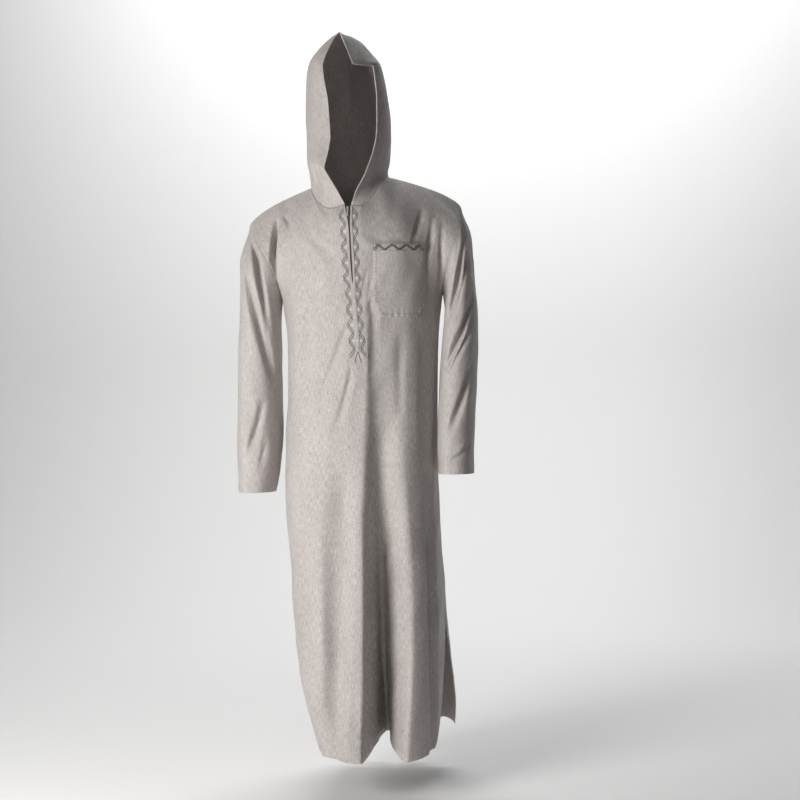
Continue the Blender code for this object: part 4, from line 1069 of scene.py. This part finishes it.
# The cloth itself
# A plain weave of light and dark grey yarns, spun unevenly, so it is flecked and streaked down
# the warp, with a slight dry sheen.
class Yarn:
    """A value, colour or vector of a material, which Python's operators turn into nodes."""

    def __init__(self, tree, socket=None):
        self.tree = tree
        self.socket = socket

    def node(self, kind, settings, values, output=0):
        made = self.tree.nodes.new(kind)
        for name, value in settings.items():
            setattr(made, name, value)
        self.fill(made, values)
        return Yarn(self.tree, made.outputs[output])

    def fill(self, made, values):
        """Sets a node's inputs to values, or links them to other nodes."""
        for name, value in values.items():
            if isinstance(value, Yarn):
                self.tree.links.new(value.socket, made.inputs[name])
            else:
                made.inputs[name].default_value = value

    def maths(self, operation, *others, swapped=False):
        values = (self, *others)[::-1] if swapped else (self, *others)
        return self.node("ShaderNodeMath", {"operation": operation}, dict(enumerate(values)))

    def __add__(self, other):
        return self.maths("ADD", other)

    def __radd__(self, other):
        return self.maths("ADD", other, swapped=True)

    def __sub__(self, other):
        return self.maths("SUBTRACT", other)

    def __rsub__(self, other):
        return self.maths("SUBTRACT", other, swapped=True)

    def __mul__(self, other):
        return self.maths("MULTIPLY", other)

    def __rmul__(self, other):
        return self.maths("MULTIPLY", other, swapped=True)

    def scaled(self, sizes):
        """A vector times another."""
        return self.node("ShaderNodeVectorMath", {"operation": "MULTIPLY"}, {0: self, 1: sizes})

    def noise(self, scale, detail, roughness):
        values = {"Vector": self, "Scale": scale, "Detail": detail, "Roughness": roughness}
        return self.node("ShaderNodeTexNoise", {"noise_dimensions": "3D"}, values)

    def shade(self, dark, light):
        """A colour from dark to light by this value."""
        return self.node(
            "ShaderNodeMix", {"data_type": "RGBA"}, {"Factor": self, 6: dark, 7: light}, output=2
        )

    def bump(self, strength, distance):
        values = {"Strength": strength, "Distance": distance, "Height": self}
        return self.node("ShaderNodeBump", {}, values)

    def place(self):
        """Where a point lies on its own piece, in metres."""
        return self.node("ShaderNodeTexCoord", {}, {}, output=3)


def principled(name):
    """A new material, its shader and a Yarn to make its nodes with."""
    made = bpy.data.materials.new(name)
    made.use_nodes = True
    shader = made.node_tree.nodes["Principled BSDF"]
    return made, shader, Yarn(made.node_tree)


YARN_TURNS = 2 * math.pi / 0.0011


def woven(name, dark, light, roughness, weave_height):
    """A flecked plain weave: uneven yarns both ways, light and dark slubs, and bolt shading."""
    made, shader, yarn = principled(name)
    cut = yarn.node("ShaderNodeUVMap", {"uv_map": "cut"}, {})
    warp = cut.scaled((900.0, 45.0, 1.0)).noise(1.0, 3.0, 0.6)
    weft = cut.scaled((60.0, 800.0, 1.0)).noise(1.0, 3.0, 0.6)
    slub = cut.scaled((540.0, 70.0, 1.0)).noise(1.0, 2.0, 0.6)
    fleck = cut.scaled((640.0, 420.0, 1.0)).noise(1.0, 2.0, 0.7)
    cloud = cut.scaled((30.0, 7.0, 1.0)).noise(1.0, 3.0, 0.5)
    tone = 0.5 + (warp - 0.5) * 1.0 + (weft - 0.5) * 0.7 + (fleck - 0.5) * 1.1 + (slub - 0.5) * 1.2
    tone = tone + (cloud - 0.5) * 0.3
    tone = yarn.node("ShaderNodeClamp", {}, {"Value": tone})
    turns = cut.scaled((YARN_TURNS, YARN_TURNS, 0.0))
    ends, picks = (
        yarn.node("ShaderNodeSeparateXYZ", {}, {0: turns}, output=k).maths("SINE") for k in (0, 1)
    )
    height = ends * picks * 0.3 + warp * 0.6 + weft * 0.5 + fleck * 0.8 + slub * 0.8
    yarn.fill(
        shader,
        {
            "Base Color": tone.shade(dark, light),
            "Normal": height.bump(0.45, weave_height),
            "Roughness": roughness,
            "Specular IOR Level": 0.45,
            "Sheen Weight": 0.15,
            "Sheen Roughness": 0.4,
        },
    )
    return made


thobe_cloth = woven("thobe_cloth", (0.25, 0.228, 0.218, 1), (0.66, 0.61, 0.585, 1), 0.54, 0.0006)
for piece in cloth_pieces.values():
    piece.data.materials.append(thobe_cloth)


# Pocket
# A patch pocket on the wearer's left breast, its lower corners cut off, with an embroidered
# band along its mouth. Its sides and foot are turned under and stitched to the front.
POCKET_SIDES = (
    # height, right side, left side
    (-0.1640, 0.0660, 0.1815),
    (-0.2500, 0.0655, 0.1805),
    (-0.3080, 0.0650, 0.1785),
    (-0.3370, 0.0870, 0.1620),
)
POCKET_BAND = 0.0180
POCKET_ROWS = 92
POCKET_COLUMNS = 64
POCKET_LIFT = 0.0022
BELLY = 0.0035
MOUTH_LOOSE = 0.0045
FOOT_PUCKER = 0.0012
FOOT_PITCH = 0.0105
FOOT_REACH = 0.07
SIDE_PUCKER = 0.0006
SIDE_PITCH = 0.0081
SIDE_REACH = 0.06
IN_FRONT = -0.5
RAY_LENGTH = 0.55
CHEST_DEPTH = -0.13


def skin_of(piece):
    """A piece's surface, on which other pieces are laid."""
    mesh = piece.data
    corners = [vertex.co for vertex in mesh.vertices]
    return BVHTree.FromPolygons(corners, [face.vertices for face in mesh.polygons])


front_skin = skin_of(cloth_pieces["front"])


def on_cloth(x, height, lift, skin=front_skin):
    """The place on the outside of the front, or of another skin, at x and a height, lifted off
    it, and the way it faces."""
    start = Vector((x, IN_FRONT, height))
    place, facing, _, _ = skin.ray_cast(start, Vector((0, 1, 0)), RAY_LENGTH)
    if place is None:
        place = skin.find_nearest(Vector((x, CHEST_DEPTH, height)))[0]
        facing = FORWARD
    place, facing = np.array(place), np.array(facing)
    if facing[1] > 0:
        facing = -facing
    return place + facing * lift, facing


pocket_sides = np.array(POCKET_SIDES)[::-1]
pocket = []
for height in np.linspace(POCKET_SIDES[0][0], POCKET_SIDES[-1][0], POCKET_ROWS + 1):
    start, end = between([height], pocket_sides[:, 0], pocket_sides[:, 1:])[0]
    down = (POCKET_SIDES[0][0] - height) / (POCKET_SIDES[0][0] - POCKET_SIDES[-1][0])
    near_foot = math.exp(-(1 - down) / FOOT_REACH)
    down_side = math.sin(2 * math.pi * height / SIDE_PITCH + math.sin(70 * height))
    line = []
    for share in np.linspace(0, 1, POCKET_COLUMNS + 1):
        x = start + (end - start) * share
        loose = BELLY * math.sin(math.pi * down) + MOUTH_LOOSE * (1 - down) ** 2
        loose *= math.sin(math.pi * share) ** 0.6
        near_side = math.exp(-min(share, 1 - share) / SIDE_REACH)
        uneven = 0.55 + 0.45 * math.sin(113 * x + 0.6)
        along_foot = math.sin(2 * math.pi * x / FOOT_PITCH + 2.6 * math.sin(80 * x))
        pucker = FOOT_PUCKER * uneven * along_foot * near_foot
        pucker += SIDE_PUCKER * down_side * near_side
        line.append(on_cloth(x, height, POCKET_LIFT + loose + pucker)[0])
    pocket.append(line)
pocket = np.array(pocket)
pocket_facing = normals_of(pocket, True)
POCKET_HEMS = (
    # edge, depth, thickness
    (TOP_EDGE, POCKET_BAND, 0.0006),
    (FOOT_EDGE, 0.006, 0.0016),
    (FIRST_SIDE, 0.006, 0.0012),
    (LAST_SIDE, 0.006, 0.0012),
)
pocket_piece = make_cloth(
    "pocket_cloth", pocket, pocket_facing, True, [],
    [(distance_inward(pocket, *edge), deep, more) for edge, deep, more in POCKET_HEMS],
)
pocket_piece.data.materials.append(thobe_cloth)
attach(pocket_piece, "robe")
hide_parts("chest_pocket")


# Placket
# The slit's two edges are faced and folded back, and the wearer's left one carries a narrow
# raised welt, which widens below the slit and ends in a point.
PLACKET = (
    # height, from the slit's middle to the welt's right edge and to its left edge
    (-0.0720, 0.0, 0.0115),
    (-0.1050, 0.0, 0.0075),
    (-0.2450, 0.0, 0.0065),
    (-0.2560, -0.0010, 0.0065),
    (-0.2640, -0.0030, 0.0065),
    (-0.4080, -0.0030, 0.0060),
    (-0.4190, 0.0004, 0.0024),
)
SLIT_EDGE = 0.0032
WELT_CLEAR = 0.0004
EDGE_CLEAR = 0.0003


def slit_at(height):
    """The middle of the slit at a height, and half its width."""
    heights = -slit_line[: UPPER_ROWS + LOWER_ROWS // 4, 2]
    middle = np.interp(-height, heights, slit_line[: len(heights), 0])
    apart = np.linalg.norm(front[:, SLIT + 1] - front[:, SLIT], axis=1) / 2
    return middle, np.interp(-height, heights, apart[: len(heights)])


def strip(name, heights, edges, columns, lift, more):
    """A narrow strip of cloth on the front between two edges given for each height."""
    grid = np.array(
        [
            [on_cloth(x, height, lift)[0] for x in np.linspace(*edges(height), columns)]
            for height in heights
        ]
    )
    made = make_cloth(
        name, grid, normals_of(grid, True), True, [],
        [(distance_inward(grid, 1, far), 0.0012, more) for far in (False, True)],
    )
    made.data.materials.append(thobe_cloth)
    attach(made, "robe")
    return made


placket_table = np.array(PLACKET)[::-1]


def welt_edges(height):
    """The welt's right and left edge at a height."""
    middle, half = slit_at(height)
    start, end = middle + between([height], placket_table[:, 0], placket_table[:, 1:])[0]
    return (middle + half + WELT_CLEAR if height > ZIP_FOOT - 0.003 else start), end


def folded_edge(height):
    """The two edges of the fold on the slit's other side at a height."""
    middle, half = slit_at(height)
    return middle - half - SLIT_EDGE, middle - half - EDGE_CLEAR


welt = strip("placket_welt", np.linspace(-0.0735, -0.419, 120), welt_edges, 9, 0.0015, -0.0005)
edge = strip("slit_edge", np.linspace(-0.0735, -0.252, 64), folded_edge, 5, 0.0010, -0.0004)
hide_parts("placket_band")


# Thread
# Fine polyester thread in the cloth's own grey for the seams, and a darker and a paler one for
# the embroidery. Every stitch is its own small loop of thread, sunk at both ends.
def threads(name, stitches, material):
    """One mesh of many stitches, each as its start, its end, the way it faces and its width."""
    start, end, facing = (np.array([row[k] for row in stitches], float) for k in range(3))
    wide = np.array([row[3] for row in stitches], float)[:, None]
    side = unit(np.cross(facing, end - start)) * wide / 2
    high = facing * wide * 0.42
    low = -facing * wide * 0.3
    rings = [start + low * 0.6]
    for share in (0.22, 0.78):
        middle = start * (1 - share) + end * share
        rings += [middle + side, middle + high, middle - side, middle + low]
    rings.append(end + low * 0.6)
    points = np.stack(rings, 1)
    faces = []
    for k in range(4):
        after = (k + 1) % 4
        faces.append((0, 1 + after, 1 + k))
        faces.append((1 + k, 1 + after, 5 + after, 5 + k))
        faces.append((9, 5 + k, 5 + after))
    first_points = range(0, 10 * len(stitches), 10)
    whole = [[first + corner for corner in face] for first in first_points for face in faces]
    mesh = bpy.data.meshes.new(name)
    mesh.from_pydata(points.reshape(-1, 3).tolist(), [], whole)
    mesh.shade_smooth()
    mesh.materials.append(material)
    made = placed(name, mesh)
    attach(made, "robe")
    return made


def running(points, facings_there, length, gap, wide):
    """Even stitches along a line of points."""
    so_far = along(points)
    count = max(int(so_far[-1] / (length + gap)), 1)
    starts = np.arange(count) * (length + gap) + gap / 2
    begun = between(starts, so_far, points)
    ended = between(starts + length, so_far, points)
    way = between(starts, so_far, facings_there)
    return [(a, b, unit(n), wide) for a, b, n in zip(begun, ended, way)]


def thread_finish(name, colour, roughness):
    """Twisted thread, darker in its twist."""
    made, shader, yarn = principled(name)
    twist = yarn.place().scaled((2600.0, 2600.0, 2600.0)).noise(1.0, 2.0, 0.6)
    dark, light = (tuple(part * share for part in colour) + (1,) for share in (0.72, 1.25))
    look = {"Base Color": twist.shade(dark, light), "Roughness": roughness, "Sheen Weight": 0.2}
    yarn.fill(shader, look)
    return made


grey_thread = thread_finish("grey_thread", (0.36, 0.335, 0.32), 0.5)
dark_thread = thread_finish("dark_thread", (0.082, 0.075, 0.072), 0.42)
pale_thread = thread_finish("pale_thread", (0.74, 0.71, 0.69), 0.42)


# Topstitching
# The hems, the cuffs, the slits, the hood's rim, the armholes and the neck are stitched through
# from the outside, a little way in from the edge.
def along_edge(node, axis, far_side, inward, lift):
    """A line of points a way in from one edge of a piece, just outside its cloth."""
    grid, _, closed = grids[node]
    facing = facings[node]
    if closed and axis == 0:
        grid = np.concatenate([grid, grid[:, :1]], axis=1)
        facing = np.concatenate([facing, facing[:, :1]], axis=1)
    far = distance_inward(grid, axis, far_side)
    order = slice(None, None, -1) if far_side else slice(None)
    places, ways = [], []
    for k in range(grid.shape[1 - axis]):
        column = (order, k) if axis == 0 else (k, order)
        place = between([inward], far[column], grid[column])[0]
        way = between([inward], far[column], facing[column])[0]
        places.append(place + way * lift)
        ways.append(way)
    return np.array(places), np.array(ways)


STITCHED_EDGES = (
    # pieces, edges, how far in, how far off the cloth, and the parts of the edge with stitches
    (("front", "back"), (FOOT_EDGE,), 0.0195, 0.0012, ((0.0, 1.0),)),
    (("sleeve_right", "sleeve_left"), (FOOT_EDGE,), 0.0185, 0.0012, ((0.0, 1.0),)),
    (("hood_right", "hood_left"), (FIRST_SIDE,), 0.0075, 0.0010, ((0.0, 1.0),)),
    (("front", "back"), (FIRST_SIDE, LAST_SIDE), 0.0070, 0.0006, ((0.80, 1.0),)),
    (("front", "back"), (FIRST_SIDE, LAST_SIDE), 0.0055, 0.0006, ((0.0, 0.32),)),
    (("front",), (TOP_EDGE,), 0.0052, 0.0006, ((0.20, 0.48), (0.52, 0.80))),
    (("back",), (TOP_EDGE,), 0.0052, 0.0006, ((0.31, 0.69),)),
)
# A stitch's length, the gap to the next one, and its width
SEAM_STITCH = (0.0026, 0.0009, 0.0006)
POCKET_STITCH = (0.0024, 0.0009, 0.0006)
BAND_STITCH = (0.0022, 0.0006, 0.0008)
# How far down the pocket its facing is stitched, as a share of its length
POCKET_FACING_SHARE = 0.054 / 0.173
# The heights between which the welt is stitched, and how many places are measured
WELT_STITCHES = (-0.08, -0.405, 110)
seam_stitches = []
for nodes, edges, inward, lift, parts in STITCHED_EDGES:
    for node, (axis, far_side) in itertools.product(nodes, edges):
        line, ways = along_edge(node, axis, far_side, inward, lift)
        for first, last in parts:
            begin, finish = int(first * (len(line) - 1)), int(last * (len(line) - 1)) + 1
            seam_stitches += running(line[begin:finish], ways[begin:finish], *SEAM_STITCH)


def on_line(places, lift, spacing=0.003, skin=front_skin):
    """Points on a skin along a line of x and height, with the ways they face."""
    places = np.array(places, float)
    length = along(places)[-1]
    distances = np.linspace(0, length, max(int(length / spacing), 2))
    found = [on_cloth(x, height, lift, skin) for x, height in spaced(places, distances)]
    return np.array(found).swapaxes(0, 1)


turned_in = (
    [(row, 2) for row in range(4, POCKET_ROWS - 2)]
    + [(POCKET_ROWS - 2, column) for column in range(2, POCKET_COLUMNS - 1)]
    + [(row, POCKET_COLUMNS - 2) for row in range(POCKET_ROWS - 2, 3, -1)]
)
rows, columns = np.array(turned_in).T
ways = pocket_facing[rows, columns]
seam_stitches += running(pocket[rows, columns] + ways * 0.0008, ways, *POCKET_STITCH)
facing_row = int(POCKET_ROWS * POCKET_FACING_SHARE)
ways = pocket_facing[facing_row]
seam_stitches += running(pocket[facing_row] + ways * 0.0006, ways, *POCKET_STITCH)
for side, offset in ((0, 0.0014), (1, -0.0008)):
    found = [
        on_cloth(welt_edges(height)[side] + offset, height, 0.0013)
        for height in np.linspace(*WELT_STITCHES)
    ]
    seam_stitches += running(*np.array(found).swapaxes(0, 1), *POCKET_STITCH)
topstitching = threads("topstitching", seam_stitches, grey_thread)


# Embroidery
# A traditional zigzag in satin stitch: two dark lines side by side, mirrored on both sides of
# the placket and repeated on the pocket's band, with small pale triangles in their bays.
ZIGZAG_STEP = 0.0370
ZIGZAG_TOP = -0.0730
ZIGZAG_FOOT = -0.4296
INNER_HEIGHT = -0.4126
LINES_APART = 0.0078
SATIN_PITCH = 0.00075
SATIN_WIDE = 0.0020
SATIN_LIFT = 0.0003
BAYS_ABOVE = 9
BAYS_DOWN = 0.46
TRIANGLE_REACH = 0.42
TRIANGLE_HALF = 0.0052
TRIANGLE_STITCHES = 9
COLUMN_EDGES = (
    # height, the right column's outer and inner edge, the left column's inner and outer edge
    (-0.0730, -0.0235, -0.0100, 0.0130, 0.0235),
    (-0.1100, -0.0230, -0.0085, 0.0085, 0.0205),
    (-0.2350, -0.0225, -0.0080, 0.0075, 0.0195),
    (-0.2700, -0.0195, -0.0055, 0.0075, 0.0190),
    (-0.4300, -0.0195, -0.0055, 0.0075, 0.0195),
)
column_table = np.array(COLUMN_EDGES)[::-1]


def column_edge(height, which):
    """How far one edge of a zigzag lies from the slit's middle."""
    return np.interp(height, column_table[:, 0], column_table[:, which])


def satin(line, ways, wide):
    """A satin line: short stitches side by side, square to the line."""
    so_far = along(line)
    count = max(int(so_far[-1] / SATIN_PITCH), 2)
    far = np.linspace(0, so_far[-1], count)
    place = between(far, so_far, line)
    way = unit(between(far, so_far, ways))
    across = unit(np.cross(way, np.gradient(place, axis=0))) * wide / 2
    return [(a - b, a + b, n, SATIN_PITCH * 1.05) for a, b, n in zip(place, across, way)]


dark_stitches, pale_stitches = [], []
for outer, inner_edge in ((1, 2), (4, 3)):
    corner = INNER_HEIGHT + BAYS_ABOVE * ZIGZAG_STEP
    corners = []
    while corner > ZIGZAG_FOOT - 0.001:
        corners.append((corner, inner_edge))
        corners.append((corner - ZIGZAG_STEP * BAYS_DOWN, outer))
        corner -= ZIGZAG_STEP
    for shift in (-LINES_APART / 2, LINES_APART / 2):
        for (high, from_edge), (low, to_edge) in zip(corners[:-1], corners[1:]):
            ends = [
                (slit_at(height)[0] + column_edge(height, which), height)
                for height, which in ((high + shift, from_edge), (low + shift, to_edge))
            ]
            if ends[0][1] > ZIGZAG_TOP or ends[1][1] < ZIGZAG_FOOT - 0.004:
                continue
            dark_stitches += satin(*on_line(ends, SATIN_LIFT), SATIN_WIDE)
    for height, which in corners:
        if which == inner_edge or height > ZIGZAG_TOP - 0.012 or height < ZIGZAG_FOOT + 0.01:
            continue
        base = slit_at(height)[0] + column_edge(height, inner_edge)
        out = (column_edge(height, outer) - column_edge(height, inner_edge)) * TRIANGLE_REACH
        for share in np.linspace(0.03, 0.97, TRIANGLE_STITCHES):
            x = base + out * share
            reach = TRIANGLE_HALF * (1 - share)
            line, ways = on_line(((x, height - reach), (x, height + reach)), SATIN_LIFT, 0.0015)
            pale_stitches.append((line[0], line[-1], ways[0], 0.0009))
# The two strokes under the welt's point
foot = slit_at(-0.4150)[0]
for step in (-0.0072, 0.0088):
    ends = ((foot + step * 0.1, -0.4200), (foot + step, -0.4440))
    dark_stitches += satin(*on_line(ends, SATIN_LIFT), SATIN_WIDE)

# The band on the pocket
BAND_POINTS = (
    # x, height
    (0.0690, -0.1800), (0.0777, -0.1670), (0.0933, -0.1800), (0.1110, -0.1670), (0.1268, -0.1800),
    (0.1425, -0.1670), (0.1580, -0.1800), (0.1700, -0.1670), (0.1780, -0.1800),
)
BAND_SHIFT = 0.0024
BAND_WIDE = 0.0026
pocket_skin = skin_of(pocket_piece)


def on_pocket(places):
    """Points on the pocket along a line of x and height, with the ways they face."""
    return on_line(places, SATIN_LIFT, 0.0015, pocket_skin)


for start, end in zip(BAND_POINTS[:-1], BAND_POINTS[1:]):
    for shift in (-BAND_SHIFT, BAND_SHIFT):
        ends = ((start[0] + shift, start[1]), (end[0] + shift, end[1]))
        dark_stitches += satin(*on_pocket(ends), BAND_WIDE)
for height in (-0.1653, -0.1812):
    dark_stitches += running(*on_pocket(((0.0675, height), (0.1800, height))), *BAND_STITCH)
for start in (0.0672, 0.1798):
    dark_stitches += satin(*on_pocket(((start, -0.1655), (start + 0.0004, -0.1780))), 0.0016)
embroidery = threads("embroidery_dark", dark_stitches, dark_thread)
embroidery_pale = threads("embroidery_pale", pale_stitches, pale_thread)


# Zip
# A short closed coil zip behind the slit, on dark tape, with a metal slider near the top and
# its pull hanging from it.
TOOTH_PITCH = 0.0014
TOOTH_SINK = 0.0011
ZIP_ROWS = UPPER_ROWS + 30
teeth = []
for index, height in enumerate(np.arange(-0.0845, ZIP_FOOT + 0.002, -TOOTH_PITCH)):
    row = np.interp(-height, -slit_line[:ZIP_ROWS, 2], np.arange(ZIP_ROWS))
    low = int(row)
    share = row - low
    middle = slit_line[low] * (1 - share) + slit_line[low + 1] * share
    way = unit(front_faces[low, SLIT] + front_faces[low, SLIT + 1])
    across = unit(front[low, SLIT + 1] - front[low, SLIT])
    centre = middle - way * TOOTH_SINK
    side = 1 if index % 2 else -1
    teeth.append((centre + across * side * 0.0023, centre - across * side * 0.0007, way, 0.00135))
coil, shader, yarn = principled("zip_coil")
yarn.fill(shader, {"Base Color": (0.05, 0.048, 0.048, 1), "Roughness": 0.35})
zip_teeth = threads("zip_teeth", teeth, coil)

tape_finish, shader, yarn = principled("zip_tape_weave")
ribs = yarn.place().scaled((1500.0, 1500.0, 500.0)).noise(1.0, 2.0, 0.6)
tape_colour = ribs.shade((0.055, 0.052, 0.05, 1), (0.12, 0.115, 0.11, 1))
tape_look = {"Base Color": tape_colour, "Normal": ribs.bump(0.5, 0.0003), "Roughness": 0.8}
yarn.fill(shader, tape_look)

nickel, shader, yarn = principled("satin_nickel")
place = yarn.place()
scratch = place.scaled((900.0, 900.0, 4200.0)).noise(1.0, 4.0, 0.6)
worn = place.scaled((260.0, 260.0, 260.0)).noise(1.0, 3.0, 0.5)
yarn.fill(
    shader,
    {
        "Base Color": worn.shade((0.62, 0.60, 0.57, 1), (0.88, 0.86, 0.83, 1)),
        "Roughness": 0.42 + scratch * 0.25,
        "Normal": scratch.bump(0.25, 0.0001),
        "Metallic": 0.75,
    },
)
for node, finish in (("zip_tape", tape_finish), ("zip_slider", nickel), ("zip_pull", nickel)):
    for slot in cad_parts[node].material_slots:
        slot.material = finish


# Studio
# A plain pale sweep, a large soft light low down at the camera's left, a weak one in front, and
# one that lights the sweep's wall.
FLOOR = -1.47
WALL_FOOT = 2.2
BEND = 1.2


def sweep():
    """The floor, curved up into a wall behind."""
    turns = np.radians(np.arange(7.5, 91, 7.5))
    bend = [(WALL_FOOT + BEND * math.sin(a), BEND - BEND * math.cos(a)) for a in turns]
    profile = [(-6.0, 0.0), (WALL_FOOT, 0.0), *bend, (WALL_FOOT + BEND, 6.0)]
    points = [(x, y, FLOOR + z) for x in (-7.0, 7.0) for y, z in profile]
    count = len(profile)
    mesh = bpy.data.meshes.new("sweep")
    mesh.from_pydata(points, [], [[k, k + count, k + count + 1, k + 1] for k in range(count - 1)])
    mesh.shade_smooth()
    finish, shader, yarn = principled("sweep")
    yarn.fill(shader, {"Base Color": (0.95, 0.95, 0.95, 1), "Roughness": 0.9})
    mesh.materials.append(finish)
    placed("sweep", mesh)


def area_light(name, place, aim, size, power, colour=(1, 1, 1)):
    """A soft light of this width and height, at a place and turned to what it lights."""
    data = bpy.data.lights.new(name, "AREA")
    data.shape = "RECTANGLE"
    data.size, data.size_y = size
    data.energy = power
    data.color = colour
    made = placed(name, data)
    made.location = place
    made.rotation_euler = (Vector(aim) - Vector(place)).to_track_quat("-Z", "Y").to_euler()


sweep()
area_light("key", (-1.38, -1.90, -0.40), (0.0, 0.0, -0.5), (1.1, 1.5), 59, (1.0, 0.985, 0.97))
area_light("card", (0.5, -4.2, 0.2), (0.0, 0.0, -0.2), (1.8, 1.6), 11)
area_light("backdrop", (0.0, 1.5, 2.8), (0.0, 3.4, 0.2), (3.4, 1.0), 108)
world = bpy.data.worlds.new("studio")
world.use_nodes = True
Yarn(world.node_tree).fill(
    world.node_tree.nodes["Background"], {"Color": (1, 1, 1, 1), "Strength": 0.02}
)
bpy.context.scene.world = world
bpy.context.scene.view_settings.view_transform = "Standard"

# The camera stands level, a little to the wearer's left, and leans by one degree
CAMERA_TURN = math.radians(9)
CAMERA_LEAN = math.radians(1)
lens = bpy.data.cameras.new("camera")
lens.sensor_width = 36
lens.lens = 62.4
camera = placed("camera", lens)
camera.location = (0.6336, -3.342, -0.534)
camera.rotation_mode = "XYZ"
camera.rotation_euler = (math.radians(90), 0, CAMERA_TURN)
camera.rotation_euler.rotate_axis("Z", -CAMERA_LEAN)
bpy.context.scene.camera = camera
